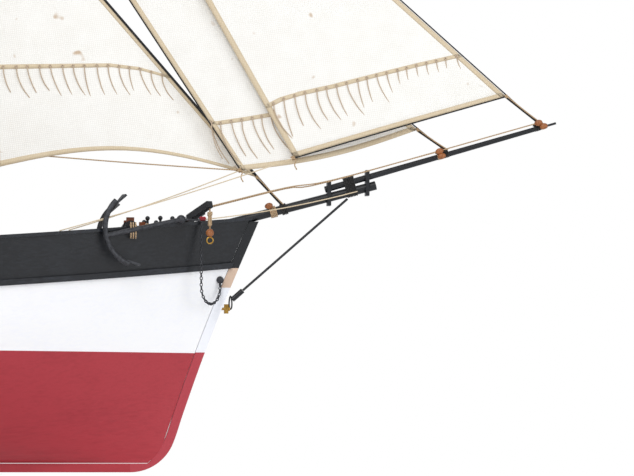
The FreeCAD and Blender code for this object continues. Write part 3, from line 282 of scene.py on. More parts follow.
# Shared helpers
def addObject(name, mesh, body=None, slotName=None, replaced=()):
    piece = bpy.data.objects.new(name, mesh)
    bpy.context.scene.collection.objects.link(piece)
    if body:
        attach(piece, body)
    if replaced:
        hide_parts(*replaced)
    if slotName:
        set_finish(piece, slotName)
    return piece


def setMaterials(piece, *materials):
    piece.data.materials.clear()
    for material in materials:
        piece.data.materials.append(material)


# the vertex of a CAD node that lies furthest in a direction
def furthest(node, direction):
    aim = Vector(direction)
    return max((v.co.copy() for v in nodes[node].data.vertices), key=aim.dot)


def middle(node):
    low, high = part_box(node)
    return (Vector(low) + Vector(high)) / 2


# one merged, smooth-shaded piece that stands for CAD nodes of the same shape
def smoothCopy(name, sources, body, slotName, material, angle=35, bevel=0.0):
    merged = bmesh.new()
    for source in sources:
        merged.from_mesh(nodes[source].data)
    bmesh.ops.remove_doubles(merged, verts=merged.verts, dist=2e-6)
    limit = math.radians(angle)
    for face in merged.faces:
        face.smooth = True
    for edge in merged.edges:
        edge.smooth = len(edge.link_faces) == 2 and edge.calc_face_angle(0) < limit
    mesh = bpy.data.meshes.new(name)
    merged.to_mesh(mesh)
    merged.free()
    piece = addObject(name, mesh, body, slotName, sources)
    setMaterials(piece, material)
    return piece


# Geometry Nodes trees

# a tree with geometry in and out, and the other inputs given as (name, type, value)
def newTree(name, sockets):
    tree = bpy.data.node_groups.new(name, "GeometryNodeTree")
    tree.interface.new_socket(name="Geometry", in_out="INPUT", socket_type="NodeSocketGeometry")
    ids = {}
    for label, kind, value in sockets:
        socket = tree.interface.new_socket(name=label, in_out="INPUT", socket_type=kind)
        if value is not None:
            socket.default_value = value
        ids[label] = socket.identifier
    tree.interface.new_socket(name="Geometry", in_out="OUTPUT", socket_type="NodeSocketGeometry")
    entry = addNode(tree, "NodeGroupInput")
    leave = addNode(tree, "NodeGroupOutput")
    return tree, entry.outputs, leave.inputs[0], ids


def finishTree(tree, geometry, material, leave):
    realized = addNode(tree, "GeometryNodeRealizeInstances", None, {0: geometry})
    painted = addNode(tree, "GeometryNodeSetMaterial", None,
                      {"Geometry": realized.outputs[0], "Material": material})
    tree.links.new(painted.outputs[0], leave)


# round line along each spline, with how far along and around each point lies
def makeRopeTree():
    sockets = (("Radius", "NodeSocketFloat", 0.0004), ("Sides", "NodeSocketInt", 8),
               ("Material", "NodeSocketMaterial", None))
    tree, entry, leave, ids = newTree("ropeAlongCurve", sockets)
    length = addNode(tree, "GeometryNodeSplineParameter")
    path = addNode(tree, "GeometryNodeStoreNamedAttribute", {"data_type": "FLOAT", "domain": "POINT"},
                   {"Geometry": entry["Geometry"], "Name": "along", "Value": length.outputs["Length"]})
    ring = addNode(tree, "GeometryNodeCurvePrimitiveCircle", None,
                   {"Resolution": entry["Sides"], "Radius": entry["Radius"]})
    turn = addNode(tree, "GeometryNodeSplineParameter")
    ring = addNode(tree, "GeometryNodeStoreNamedAttribute", {"data_type": "FLOAT", "domain": "POINT"},
                   {"Geometry": ring.outputs[0], "Name": "around", "Value": turn.outputs["Factor"]})
    tube = addNode(tree, "GeometryNodeCurveToMesh", None,
                   {"Curve": path.outputs[0], "Profile Curve": ring.outputs[0], "Fill Caps": True})
    smooth = addNode(tree, "GeometryNodeSetShadeSmooth", None, {0: tube.outputs[0]})
    finishTree(tree, smooth.outputs[0], entry["Material"], leave)
    return tree, ids


# links along each spline, every other one turned a quarter
def makeChainTree():
    sockets = (("Link", "NodeSocketFloat", 0.003), ("Wire", "NodeSocketFloat", 0.0005),
               ("Material", "NodeSocketMaterial", None))
    share = {"spacing": 0.66, "ring": 0.34}
    tree, entry, leave, ids = newTree("chainAlongCurve", sockets)
    spaced = addNode(tree, "GeometryNodeCurveToPoints", {"mode": "LENGTH"}, {"Curve": entry["Geometry"]})
    tree.links.new(maths(tree, "MULTIPLY", entry["Link"], share["spacing"]), spaced.inputs["Length"])
    ring = addNode(tree, "GeometryNodeCurvePrimitiveCircle", None,
                   {"Resolution": 12, "Radius": maths(tree, "MULTIPLY", entry["Link"], share["ring"])})
    wire = addNode(tree, "GeometryNodeCurvePrimitiveCircle", None,
                   {"Resolution": 6, "Radius": entry["Wire"]})
    link = addNode(tree, "GeometryNodeCurveToMesh", None,
                   {"Curve": ring.outputs[0], "Profile Curve": wire.outputs[0]})
    # a link is longer than wide, and lies in the plane of the line
    long = addNode(tree, "GeometryNodeTransform", None,
                   {"Geometry": link.outputs[0], "Rotation": (0, math.pi / 2, 0), "Scale": (1, 0.72, 1.45)})
    index = addNode(tree, "GeometryNodeInputIndex")
    quarter = maths(tree, "MULTIPLY", index.outputs[0], math.pi / 2)
    spin = addNode(tree, "ShaderNodeCombineXYZ", None, {"Z": quarter})
    spun = addNode(tree, "FunctionNodeRotateRotation", {"rotation_space": "LOCAL"},
                   {"Rotation": spaced.outputs["Rotation"], "Rotate By": spin.outputs[0]})
    placed = addNode(tree, "GeometryNodeInstanceOnPoints", None,
                     {"Points": spaced.outputs["Points"], "Instance": long.outputs[0],
                      "Rotation": spun.outputs[0]})
    finishTree(tree, placed.outputs[0], entry["Material"], leave)
    return tree, ids


ropeTree, ropeIds = makeRopeTree()
chainTree, chainIds = makeChainTree()


def pathCurve(name, paths):
    curve = bpy.data.curves.new(name, "CURVE")
    curve.dimensions = "3D"
    for path in paths:
        spline = curve.splines.new("POLY")
        spline.points.add(len(path) - 1)
        for point, place in zip(spline.points, path):
            point.co = (*place, 1)
    source = bpy.data.objects.new(name, curve)
    bpy.context.scene.collection.objects.link(source)
    return source


# runs a Geometry Nodes tree on an object and returns the plain mesh
def grown(name, source, tree, ids, values):
    modifier = source.modifiers.new(name, "NODES")
    modifier.node_group = tree
    for label, value in values.items():
        modifier[ids[label]] = value
    evaluated = source.evaluated_get(bpy.context.evaluated_depsgraph_get())
    mesh = bpy.data.meshes.new_from_object(evaluated)
    mesh.name = name
    source.modifiers.clear()
    bpy.data.objects.remove(source)
    return mesh


def ropes(name, paths, radius, material, body, slotName, replaced=(), sides=8):
    mesh = grown(name, pathCurve(name + "Path", paths), ropeTree, ropeIds,
                 {"Radius": radius, "Sides": sides, "Material": material})
    return addObject(name, mesh, body, slotName, replaced)


# points of a line between two places that hangs by sag in its middle
def hang(start, end, sag=0.0, steps=12):
    points = []
    for i in range(steps + 1):
        t = i / steps
        points.append(Vector(start).lerp(Vector(end), t) - Vector((0, 0, 4 * sag * t * (1 - t))))
    return points


# smooth line through places, by Catmull-Rom
def rounded(corners, steps=8):
    places = [Vector(c) for c in corners]
    places = [2 * places[0] - places[1]] + places + [2 * places[-1] - places[-2]]
    points = []
    for a, b, c, d in zip(places, places[1:], places[2:], places[3:]):
        for i in range(steps):
            t = i / steps
            points.append(0.5 * (2 * b + (c - a) * t + (2 * a - 5 * b + 4 * c - d) * t ** 2
                                 + (3 * b - a - 3 * c + d) * t ** 3))
    points.append(places[-2])
    return points


# angles once round, the last on top of the first
def angles(steps):
    return [2 * math.pi * k / steps for k in range(steps + 1)]


# turns of line round an axis, as a lashing
def coil(centre, axis, radius, pitch, turns, steps=14):
    axis = Vector(axis).normalized()
    side = axis.orthogonal().normalized()
    other = axis.cross(side)
    points = []
    for i in range(int(turns * steps) + 1):
        angle = 2 * math.pi * i / steps
        along = pitch * (i / steps - turns / 2)
        points.append(Vector(centre) + axis * along
                      + radius * (side * math.cos(angle) + other * math.sin(angle)))
    return points


# turned piece: profile gives (distance along the axis, radius)
def turned(name, profile, start, axis, material, body, slotName, replaced=(), sides=24):
    axis = Vector(axis).normalized()
    side = axis.orthogonal().normalized()
    other = axis.cross(side)
    shape = bmesh.new()
    rings = []
    for along, radius in profile:
        centre = Vector(start) + axis * along
        rings.append([shape.verts.new(centre + radius * (side * math.cos(a) + other * math.sin(a)))
                      for a in angles(sides)[:-1]])
    for low, high in zip(rings, rings[1:]):
        for k in range(sides):
            shape.faces.new((low[k], low[(k + 1) % sides], high[(k + 1) % sides], high[k]))
    shape.faces.new(list(reversed(rings[0])))
    shape.faces.new(rings[-1])
    bmesh.ops.recalc_face_normals(shape, faces=shape.faces)
    for face in shape.faces:
        face.smooth = len(face.verts) == 4
    mesh = bpy.data.meshes.new(name)
    shape.to_mesh(mesh)
    shape.free()
    piece = addObject(name, mesh, body, slotName, replaced)
    setMaterials(piece, material)
    return piece


# egg-shaped wooden blocks with a score for the strop, at (place, direction) pairs
def pulleyBlocks(name, places, body, size=(0.0056, 0.0036, 0.0042), score=(0.16, 0.16)):
    length, thick, wide = size
    scoreDepth, scoreWidth = score
    shape = bmesh.new()
    for place, direction in places:
        turn = Vector(direction).to_track_quat("X", "Z").to_matrix().to_4x4()
        grow = Matrix.Diagonal((length / 2, thick / 2, wide / 2, 1))
        made = bmesh.ops.create_uvsphere(shape, u_segments=20, v_segments=14, radius=1.0)["verts"]
        for v in made:
            v.co *= 1.0 - scoreDepth * math.exp(-(v.co.y / scoreWidth) ** 2)
        bmesh.ops.transform(shape, matrix=Matrix.Translation(Vector(place)) @ turn @ grow, verts=made)
    for face in shape.faces:
        face.smooth = True
    mesh = bpy.data.meshes.new(name)
    shape.to_mesh(mesh)
    shape.free()
    piece = addObject(name, mesh, body, "block_wood")
    setMaterials(piece, blockWood)
    return piece


# Hull
print("hull")
smoothCopy("bottomHull", ["bottom_planking"], "ship", "red_paint", redPaint)
smoothCopy("topsideHull", ["topside_planking"], "ship", "white_paint", whitePaint)
smoothCopy("portBulwarkSkin", ["port_bulwark"], "ship", "black_paint", blackPaint)
smoothCopy("starboardBulwarkSkin", ["starboard_bulwark"], "ship", "black_paint", blackPaint)
smoothCopy("transomBoard", ["transom"], "ship", "black_paint", blackPaint)
smoothCopy("capRail", ["cap_rail"], "ship", "black_paint", railPaint, 30)
smoothCopy("rubbingStrake", ["rubbing_strake"], "ship", "black_paint", railPaint, 30)

plain = {
    "keel": redPaint, "stern_post": redPaint, "rudder": redPaint, "deck": deckWood, "bulkheads": bareWood,
    "false_keel": bareWood, "rudder_gudgeons": agedBrass, "fore_mast": sparWood, "fore_topmast": sparWood,
    "main_mast": sparWood, "main_topmast": sparWood, "mast_caps": blackPaint, "sheet_horses": blackIron,
    "bowsprit": blackPaint, "jib_boom": blackPaint, "boom_irons": blackPaint, "fore_boom": boomWood,
    "fore_gaff": boomWood, "main_boom": boomWood, "main_gaff": boomWood, "fore_sheet_tackle": blockWood,
    "main_sheet_tackle": blockWood, "stem_post": stemColoursWithPaintedShade, "channels": blackPaint,
    "windlass_drum": blackPaint, "windlass_bitts": varnishedWood, "hatches": varnishedWood,
    "companion": varnishedWood,
    "steering_wheel": varnishedWood, "wheel_box": varnishedWood, "catheads": blackPaint,
    "cat_block": blockWood,
    "anchors": blackIron, "anchor_chain": blackIron, "bobstay": blackPaint, "pin_rails": varnishedWood,
    "belaying_pins": blackPaint, "stand_base": standWood, "fore_crutch": standWood, "aft_crutch": standWood,
    "crutch_felts": greenFelt, "stand_screws": screwSteel, "fore_sail": sailCotton, "main_sail": sailCotton,
    "fore_staysail": sailCotton, "inner_jib": sailCotton, "flying_jib": sailCotton, "stays": blackPaint,
    "shrouds": blackPaint, "deadeyes_and_chain_plates": blackPaint, "headsail_sheets_and_guys": tapeCotton,
    "fore_hoops_and_halyards": tapeCotton, "main_hoops_and_halyards": tapeCotton,
}
for node, material in plain.items():
    setMaterials(nodes[node], material)


# Sails

# point of a sail; u runs from luff to leech, v from foot to head
def edgePoint(corners, belly, footRound, u, v, four=False):
    tack, head, clew, headAft = corners
    p = tack.lerp(head, v).lerp(clew.lerp(headAft, v), u)
    across = math.sin(math.pi * u)
    if four:
        return p + Vector((0, -belly * across * math.sin(math.pi * v), 0))
    return p + Vector((0, -belly * across * (1 - v), -footRound * across * (1 - v) ** 4))


# closed thin piece from a grid of points, half its thickness to each side of them
def thinSheet(name, grid, thickness, material, slotName, body, replaced=()):
    shape = bmesh.new()
    sides = []
    for shift in (-thickness / 2, thickness / 2):
        sides.append([[shape.verts.new(p + Vector((0, shift, 0))) for p in column] for column in grid])
    front, back = sides
    columns, rows = len(grid), len(grid[0])
    for i in range(columns - 1):
        for j in range(rows - 1):
            for side in sides:
                corners = (side[i][j], side[i + 1][j], side[i + 1][j + 1], side[i][j + 1])
                shape.faces.new(corners).smooth = True
    rim = [(i, 0) for i in range(columns)] + [(columns - 1, j) for j in range(1, rows)]
    rim += [(i, rows - 1) for i in range(columns - 2, -1, -1)] + [(0, j) for j in range(rows - 2, 0, -1)]
    for (i, j), (k, m) in zip(rim, rim[1:] + rim[:1]):
        shape.faces.new((front[i][j], front[k][m], back[k][m], back[i][j]))
    bmesh.ops.recalc_face_normals(shape, faces=shape.faces)
    mesh = bpy.data.meshes.new(name)
    shape.to_mesh(mesh)
    shape.free()
    piece = addObject(name, mesh, body, slotName, replaced)
    setMaterials(piece, material)
    return piece


# one piece out of several with the same material and body
def joined(name, pieces):
    merged = bmesh.new()
    for piece in pieces:
        merged.from_mesh(piece.data)
    mesh = bpy.data.meshes.new(name)
    merged.to_mesh(mesh)
    merged.free()
    first = pieces[0]
    result = addObject(name, mesh, first["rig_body"], first.get("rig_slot"))
    setMaterials(result, first.data.materials[0])
    for piece in pieces:
        bpy.data.objects.remove(piece)
    return result


# height of a reef band's line at x, from its (x, z) spots; level before them and straight on past them
def bandHeight(spots, x):
    if x <= spots[0][0]:
        return spots[0][1]
    for (x0, z0), (x1, z1) in zip(spots, spots[1:]):
        if x <= x1:
            return z0 + (z1 - z0) * (x - x0) / (x1 - x0)
    (x0, z0), (x1, z1) = spots[-2:]
    return z1 + (z1 - z0) * (x - x1) / (x1 - x0)


# where a band's line crosses the sail at u, found by halving
def onBand(place, spots, u, halvings=24):
    below, above = 0.0, 1.0
    for _ in range(halvings):
        v = (below + above) / 2
        p = place(u, v)
        if p.z < bandHeight(spots, p.x):
            below = v
        else:
            above = v
    return u, below


# shape rows: how far out, then the share of drift, of drift by lean, and of drop
reefPoint = dict(proud=0.0007, spacing=(0.88, 1.12), drop=(0.85, 1.15), drift=(0.55, 1.35), lean=(0.3, 0.7),
                 shape=((1.0, 0, 0, 0), (1.3, 0, 0.25, 0.3), (1.5, 0.35, 0.3, 0.68), (1.2, 1, 0, 1)),
                 knot=dict(radius=0.0007, pitch=0.0005, turns=1.4, steps=8), radius=0.00036)


# reef points hanging from both faces of a sail along a band's track
def reefPoints(span, band, thick):
    threads = []
    passed = 0.0
    nextAt = band["first"]
    for a, b in zip(span, span[1:]):
        run = (b - a).length
        while passed + run >= nextAt:
            p = a.lerp(b, (nextAt - passed) / run)
            nextAt += band["spacing"] * rng.uniform(*reefPoint["spacing"])
            for face in (-1, 1):
                out = Vector((0, face * (thick / 2 + reefPoint["proud"]), 0))
                drop = band["drop"] * rng.uniform(*reefPoint["drop"])
                drift = band["drift"] * rng.uniform(*reefPoint["drift"])
                lean = rng.uniform(*reefPoint["lean"])
                shape = [p + out * off + Vector((drift * (fixed + leaning * lean), 0, -drop * fall))
                         for off, fixed, leaning, fall in reefPoint["shape"]]
                threads.append(rounded(shape, 4))
                threads.append(coil(p + out * 0.8, (0, 1, 0), **reefPoint["knot"]))
        passed += run
    return threads


boltRope = dict(radius=0.00045, away={"Luff": 0.0003, "Foot": 0.0004, "Leech": 0.0004})


def makeSail(name, sail):
    node, body, four = sail["node"], sail["body"], sail.get("four", False)
    tack = furthest(node, sail["tackWay"])
    clew = furthest(node, sail["clewWay"])
    head = furthest(node, sail["headWay"])
    headAft = furthest(node, sail["aftWay"])
    for corner in (tack, clew, head, headAft):
        corner.y = round(corner.y, 3)
    if not four:
        clew.y = sail["clewY"]
        tack.y = head.y = headAft.y = 0
    corners = (tack, head, clew, headAft)
    tape, thick = sail["tape"], sail["thickness"]

    def place(u, v):
        p = edgePoint(corners, sail["belly"], sail.get("footRound", 0), u, v, four)
        wave = math.sin(9 * u + 5 * v) * math.sin(math.pi * u) * math.sin(math.pi * min(v * 1.02, 1))
        return p + Vector((0, sail["ripple"] * wave, 0))

    columns, rows = 48, 56
    grid = [[place(i / columns, j / rows) for j in range(rows + 1)] for i in range(columns + 1)]
    cloth = thinSheet(name, grid, thick, sailCotton, "sail_cotton", body, [node])

    # tape along a track; side moves a place across the tape by s, which runs from 0 to 1
    def strip(track, side):
        lines = [[place(*side(*uv, s)) for uv in track] for s in (0, 0.5, 1)]
        return thinSheet(name + "Strip", lines, thick + sail["tapeThick"], tapeCotton, "sail_cotton", body)

    steps = [k / 60 for k in range(61)]

    def acrossWidth(v):
        return max((place(1, v) - place(0, v)).length, tape)

    def acrossHeight(u):
        return max((place(u, 1) - place(u, 0)).length, tape)

    strips = [
        strip([(0, t) for t in steps], lambda u, v, s: (min(s * tape / acrossWidth(v), 1), v)),
        strip([(1, t) for t in steps], lambda u, v, s: (max(1 - s * tape / acrossWidth(v), 0), v)),
        strip([(t, 0) for t in steps], lambda u, v, s: (u, s * tape / acrossHeight(u))),
    ]
    if four:
        strips.append(strip([(t, 1) for t in steps], lambda u, v, s: (u, 1 - s * tape / acrossHeight(u))))
    threads = []
    for band in sail["bands"]:
        track = [onBand(place, band["spots"], t) for t in steps]
        strips.append(strip(track, lambda u, v, s: (u, v + (s - 0.5) * tape * 0.8 / acrossHeight(u))))
        threads += reefPoints([place(*uv) for uv in track], band, thick)
    extra = [joined(name + "Hems", strips)]
    if threads:
        extra.append(ropes(name + "ReefPoints", threads, reefPoint["radius"], reefLine, body, "tan_rope",
                           sides=6))
    edges = {"Luff": [(0, t) for t in steps], "Foot": [(t, 0) for t in steps],
             "Leech": [(1, t) for t in steps]}
    for label, track in edges.items():
        if label in sail["boltRopes"]:
            path = [place(*uv) + Vector((0, -thick / 2 - boltRope["away"][label], 0)) for uv in track]
            extra.append(ropes(name + label + "Rope", [path], boltRope["radius"], sail["boltRopes"][label],
                               body, "black_rope"))
    foot = (clew - tack).length
    luff = (head - tack).length
    area = sum(face.area for face in cloth.data.polygons) / 2
    area = min(max(area, 0.3 * foot * luff), foot * luff)
    print(name, "foot", round(foot, 4), "luff", round(luff, 4), "area", round(area, 5))
    return corners


print("sails")
forward = dict(tackWay=(1, 0, -0.6), headWay=(0.25, 0, 1), aftWay=(-0.6, 0, 1), clewWay=(-0.6, 0, -1),
               body="ship", tape=0.0038, thickness=0.0006, tapeThick=0.0003, ripple=0.0006,
               restsOn=["stays"])
staysailBand = dict(spots=((0.262, 0.2895), (0.311, 0.2906), (0.335, 0.2912), (0.354, 0.2893),
                           (0.369, 0.2854)),
                    first=0.006, spacing=0.0077, drop=0.0185, drift=0.007)
innerJibBand = dict(spots=((0.393, 0.2560), (0.403, 0.2535), (0.421, 0.2563), (0.433, 0.2584),
                           (0.523, 0.2740)),
                    first=0.004, spacing=0.0064, drop=0.0235, drift=0.011)
flyingJibBand = dict(spots=((0.436, 0.2646), (0.4445, 0.2690), (0.458, 0.2731), (0.478, 0.2776),
                            (0.536, 0.2932), (0.560, 0.2991)),
                     first=0.003, spacing=0.0071, drop=0.0225, drift=0.0095)
headsails = {
    "foreStaysail": dict(forward, node="fore_staysail", belly=0.005, footRound=-0.014, clewY=-0.008,
                         bands=[staysailBand], boltRopes={"Luff": blackLine}),
    "innerJib": dict(forward, node="inner_jib", belly=0.006, footRound=0.005, clewY=-0.012,
                     bands=[innerJibBand], boltRopes={"Leech": blackLine}),
    "flyingJib": dict(forward, node="flying_jib", belly=0.007, footRound=0.0, clewY=-0.017,
                      bands=[flyingJibBand], boltRopes={"Foot": blackLine}),
}
tacks, clews = {}, {}
for name, sail in headsails.items():
    tacks[name], _, clews[name], _ = makeSail(name, sail)
gaffSail = dict(tackWay=(1, 0, -1), headWay=(1, 0, 0.28), aftWay=(-0.35, 0, 1), clewWay=(-1, 0, -0.25),
                four=True, belly=0.009, tape=0.0038, thickness=0.0006, tapeThick=0.0003, ripple=0.0006,
                boltRopes={"Leech": blackLine})
gaffBand = dict(first=0.006, spacing=0.012, drop=0.019, drift=-0.003)
makeSail("foreSail", dict(gaffSail, node="fore_sail", body="fore_boom_gear",
                          restsOn=["fore_boom", "fore_gaff"],
                          bands=[dict(gaffBand, spots=((-0.06, 0.262), (0.21, 0.246)))]))
makeSail("mainSail", dict(gaffSail, node="main_sail", body="main_boom_gear",
                          restsOn=["main_boom", "main_gaff"],
                          bands=[dict(gaffBand, spots=((-0.50, 0.272), (-0.09, 0.250)))]))


# Rigging and bow fittings
print("rigging")


# smooth copy whose faces take the material of the height band that they lie in
def byHeight(name, source, body, slotName, bands):
    piece = smoothCopy(name, [source], body, slotName, bands[0][1])
    setMaterials(piece, *[material for _, material in bands])
    for face in piece.data.polygons:
        face.material_index = max(k for k, (height, _) in enumerate(bands)
                                  if face.center.z >= height or k == 0)
    return piece


sideTrees = {}
for side in ("starboard_bulwark", "topside_planking", "cap_rail"):
    skin = nodes[side].data
    sideTrees[side] = BVHTree.FromPolygons([v.co for v in skin.vertices],
                                           [p.vertices for p in skin.polygons])


# y of the starboard planking at a place
def hullSide(x, z, ifMissed=-0.05):
    for tree in sideTrees.values():
        found = tree.ray_cast(Vector((x, -0.5, z)), Vector((0, 1, 0)))
        if found[0] is not None:
            return found[0].y
    return ifMissed


# height of the cap rail's top on the starboard side
def railTop(x, ifMissed=0.19):
    found = sideTrees["cap_rail"].ray_cast(Vector((x, hullSide(x, 0.18) + 0.001, 0.5)), Vector((0, 0, -1)))
    return found[0].z if found[0] is not None else ifMissed


# turns of line round two spars or a long section; up is the longer way
def ovalCoil(centre, axis, up, halfHigh, halfWide, pitch, turns, steps=20):
    axis = Vector(axis).normalized()
    up = Vector(up)
    up = (up - axis * up.dot(axis)).normalized()
    side = axis.cross(up)
    points = []
    for i in range(int(turns * steps) + 1):
        angle = 2 * math.pi * i / steps
        points.append(Vector(centre) + axis * (pitch * (i / steps - turns / 2))
                      + up * (halfHigh * math.cos(angle)) + side * (halfWide * math.sin(angle)))
    return points


spritSteeve = math.radians(14.8)
boomSteeve = math.radians(16.3)
spritWay = Vector((math.cos(spritSteeve), 0, math.sin(spritSteeve)))
boomWay = Vector((math.cos(boomSteeve), 0, math.sin(boomSteeve)))
spritMid = middle("bowsprit")
jibPin = furthest("jib_boom", boomWay)
jibPin.y = 0


def onSprit(x):
    return spritMid + spritWay * ((x - spritMid.x) / spritWay.x)


def onJibBoom(x):
    return jibPin + boomWay * ((x - jibPin.x) / boomWay.x)


upright = Vector((0, 0, 1))
doubling = dict(x=0.491, over=0.0030, halfWide=0.0034, pitch=0.0010, turns=7)
doublingMid = (onSprit(doubling["x"]) + onJibBoom(doubling["x"])) / 2
doublingHalf = (onJibBoom(doubling["x"]) - onSprit(doubling["x"])).length / 2
# spar, its direction, x, radius, pitch and turns of each collar
blackCollars = ((onSprit, spritWay, 0.4478, 0.0034, 0.0010, 4),
                (onJibBoom, boomWay, 0.5535, 0.0024, 0.0009, 4),
                (onJibBoom, boomWay, 0.6135, 0.0021, 0.0009, 4))
tanCollars = ((onSprit, spritWay, 0.4407, 0.0035, 0.0009, 5),
              (onJibBoom, boomWay, 0.5495, 0.0025, 0.0009, 4),
              (onJibBoom, boomWay, 0.6170, 0.0021, 0.0009, 3))


def collars(rows):
    return [coil(spar(x), way, radius, pitch, turns) for spar, way, x, radius, pitch, turns in rows]


doublingTurns = ovalCoil(doublingMid, spritWay, upright, doublingHalf + doubling["over"],
                         doubling["halfWide"], doubling["pitch"], doubling["turns"])
ropes("blackCollars", [doublingTurns] + collars(blackCollars), 0.00045, blackLine, "ship", "black_rope")
ropes("tanCollars", collars(tanCollars), 0.00042, tanLine, "ship", "tan_rope")
# spar, x, offset from its middle and direction of each block
blockRows = ((onSprit, 0.4375, (0, -0.0045, 0.0045), boomWay),
             (onJibBoom, 0.5490, (0, -0.0043, 0.0026), boomWay),
             (onJibBoom, 0.5505, (0, -0.0043, -0.0010), spritWay),
             (onJibBoom, 0.6140, (0, -0.0038, 0.0026), boomWay),
             (onJibBoom, 0.6175, (0, -0.0038, -0.0006), spritWay))
headBlocks = [(spar(x) + Vector(offset), way) for spar, x, offset, way in blockRows]
pulleyBlocks("headsailBlocks", headBlocks, "ship")
railLead = Vector((0.3984, hullSide(0.39, 0.18) + 0.004, 0.1993))
jibDownhaul = [railLead, (0.4478, -0.010, 0.2120), (0.4777, -0.006, 0.2172), headBlocks[1][0]]
flyingDownhaul = [railLead + Vector((0, 0.001, -0.0006)), (0.4478, -0.009, 0.2115),
                  (0.4777, -0.0055, 0.2168), headBlocks[3][0]]
downhauls = [rounded(jibDownhaul, 5), rounded(flyingDownhaul, 5)]
# foot of each sail's tack pendant: spar, x and height over the spar's middle
pendants = {"foreStaysail": (onSprit, 0.4459, 0.003), "innerJib": (onJibBoom, 0.5535, 0.002),
            "flyingJib": (onJibBoom, 0.6149, 0.0018)}
tackLines, tackTapes = [], []
for name, (spar, x, rise) in pendants.items():
    tack, foot = tacks[name], spar(x) + upright * rise
    tackLines.append([tack + Vector((-0.0006, -0.0008, -0.0004)), foot + Vector((0.0002, -0.0010, 0))])
    tackTapes.append(hang(tack + Vector((0.0005, -0.0016, 0)), foot + Vector((0.0014, -0.0018, 0.0004)),
                          0.0004))
    tackTapes.append(coil(tack + Vector((0, -0.0005, 0)), (1, 0, 0.6), 0.0011, 0.0006, 3))
ropes("tackPendants", tackLines, 0.0006, blackLine, "ship", "black_rope")
clewLine = hang(clews["innerJib"], (0.2066, -0.0062, 0.2395), 0.001)
knotTail = ((0, 0, 0), (0.0010, -0.0016, -0.0016), (0.0002, -0.0016, -0.0046), (0.0016, -0.0016, -0.0076))
knots = []
for name in ("innerJib", "flyingJib"):
    knots.append(coil(clews[name] + Vector((-0.0006, -0.0006, 0)), (1, 0, 0.3), 0.0012, 0.0008, 3))
    knots.append(rounded([clews[name] + Vector(step) for step in knotTail], 4))
ropes("downhaulsAndTackLines", downhauls + tackTapes + [clewLine] + knots, 0.0004, tanLine, "ship",
      "tan_rope")

# anchor chain in a U between the rail and the eye on the planking
chain = dict(inset=0.0011, aftRise=0.002, foreRise=0.0035, bendSteps=12, link=0.0031, wire=0.00042)
hawseEye = dict(profile=((0, 0.0009), (0.0012, 0.0022), (0.0022, 0.0024), (0.0030, 0.0016),
                         (0.0032, 0.0006)),
                inboard=0.0024, rise=0.0046, axis=(0, -1, 0.1))
chainLow, chainHigh = (Vector(c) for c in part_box("anchor_chain"))
leftX, rightX = chainLow.x + chain["inset"], chainHigh.x - chain["inset"]
leftY, rightY = chainLow.y + chain["inset"], chainHigh.y - chain["inset"]
reach = Vector((rightX - leftX, rightY - leftY, 0)).length / 2
turnZ = chainLow.z + chain["inset"] + reach
bend = []
for i in range(chain["bendSteps"] + 1):
    angle = math.pi * i / chain["bendSteps"]
    share = (1 - math.cos(angle)) / 2
    bend.append(Vector((leftX + (rightX - leftX) * share, leftY + (rightY - leftY) * share,
                        turnZ - reach * math.sin(angle))))
chainStart = Vector((leftX, leftY, chainHigh.z + chain["aftRise"]))
chainPath = [chainStart] + bend + [Vector((rightX, rightY, turnZ + chain["foreRise"]))]
chainMesh = grown("chainLinks", pathCurve("chainPath", [chainPath]), chainTree, chainIds,
                  {"Link": chain["link"], "Wire": chain["wire"], "Material": blackIron})
addObject("chainLinks", chainMesh, "ship", "black_iron", ["anchor_chain"])
turned("hawseEye", hawseEye["profile"], (rightX, rightY + hawseEye["inboard"], turnZ + hawseEye["rise"]),
       hawseEye["axis"], blackIron, "ship", "black_iron")

# stem plate, its bolt and the strop round the heart; bands are heights of the change of material
plateBands = ((0, agedBrass), (0.1378, blackPaint))
boltSettings = dict(profile=((0, 0.0009), (0.0022, 0.0009), (0.0058, 0.0009), (0.0060, 0.0015),
                             (0.0068, 0.0013), (0.0070, 0.0004)), behind=0.0030, height=0.1338)
strop = dict(ahead=0.0042, height=0.1398, halfLong=0.0009, halfWide=0.0014, halfHigh=0.0042, drop=0.0020,
             radius=0.0005)
byHeight("stayWireAndPlate", "bobstay", "ship", "black_iron", plateBands)
plateTop = furthest("bobstay", (-1, 0, -1))
turned("stemBolt", boltSettings["profile"], (plateTop.x - boltSettings["behind"], 0, boltSettings["height"]),
       (1, 0, 0), agedBrass, "ship", "brass", sides=12)
heartFoot = Vector((plateTop.x + strop["ahead"], 0, strop["height"] - strop["drop"]))
stropLoop = [heartFoot + Vector((strop["halfLong"] * math.sin(a), strop["halfWide"] * math.sin(2 * a),
                                 strop["halfHigh"] * math.cos(a))) for a in angles(24)]
ropes("heartStrop", [stropLoop], strop["radius"], blackLine, "ship", "black_rope")

# cat block: brass hook below, wood, and line above
catSettings = dict(wood=0.0048, line=0.0103, radius=0.0004, lower=(0.0075, 0.0010, 0.0008, 9),
                   upper=(0.0035, 0.0014, 0.0008, 3))
catLow, catHigh = (Vector(c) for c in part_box("cat_block"))
catBands = ((0, agedBrass), (catLow.z + catSettings["wood"], blockWood),
            (catLow.z + catSettings["line"], tanLine))
byHeight("catBlockHook", "cat_block", "cat_block", "block_wood", catBands)
catMid = middle("cat_block")
catTurns = []
for drop, radius, pitch, turns in (catSettings["lower"], catSettings["upper"]):
    catTurns.append(coil((catMid.x, catMid.y, catHigh.z - drop), (0, 0, 1), radius, pitch, turns))
ropes("catLashing", catTurns, catSettings["radius"], tanLine, "cat_block", "tan_rope")

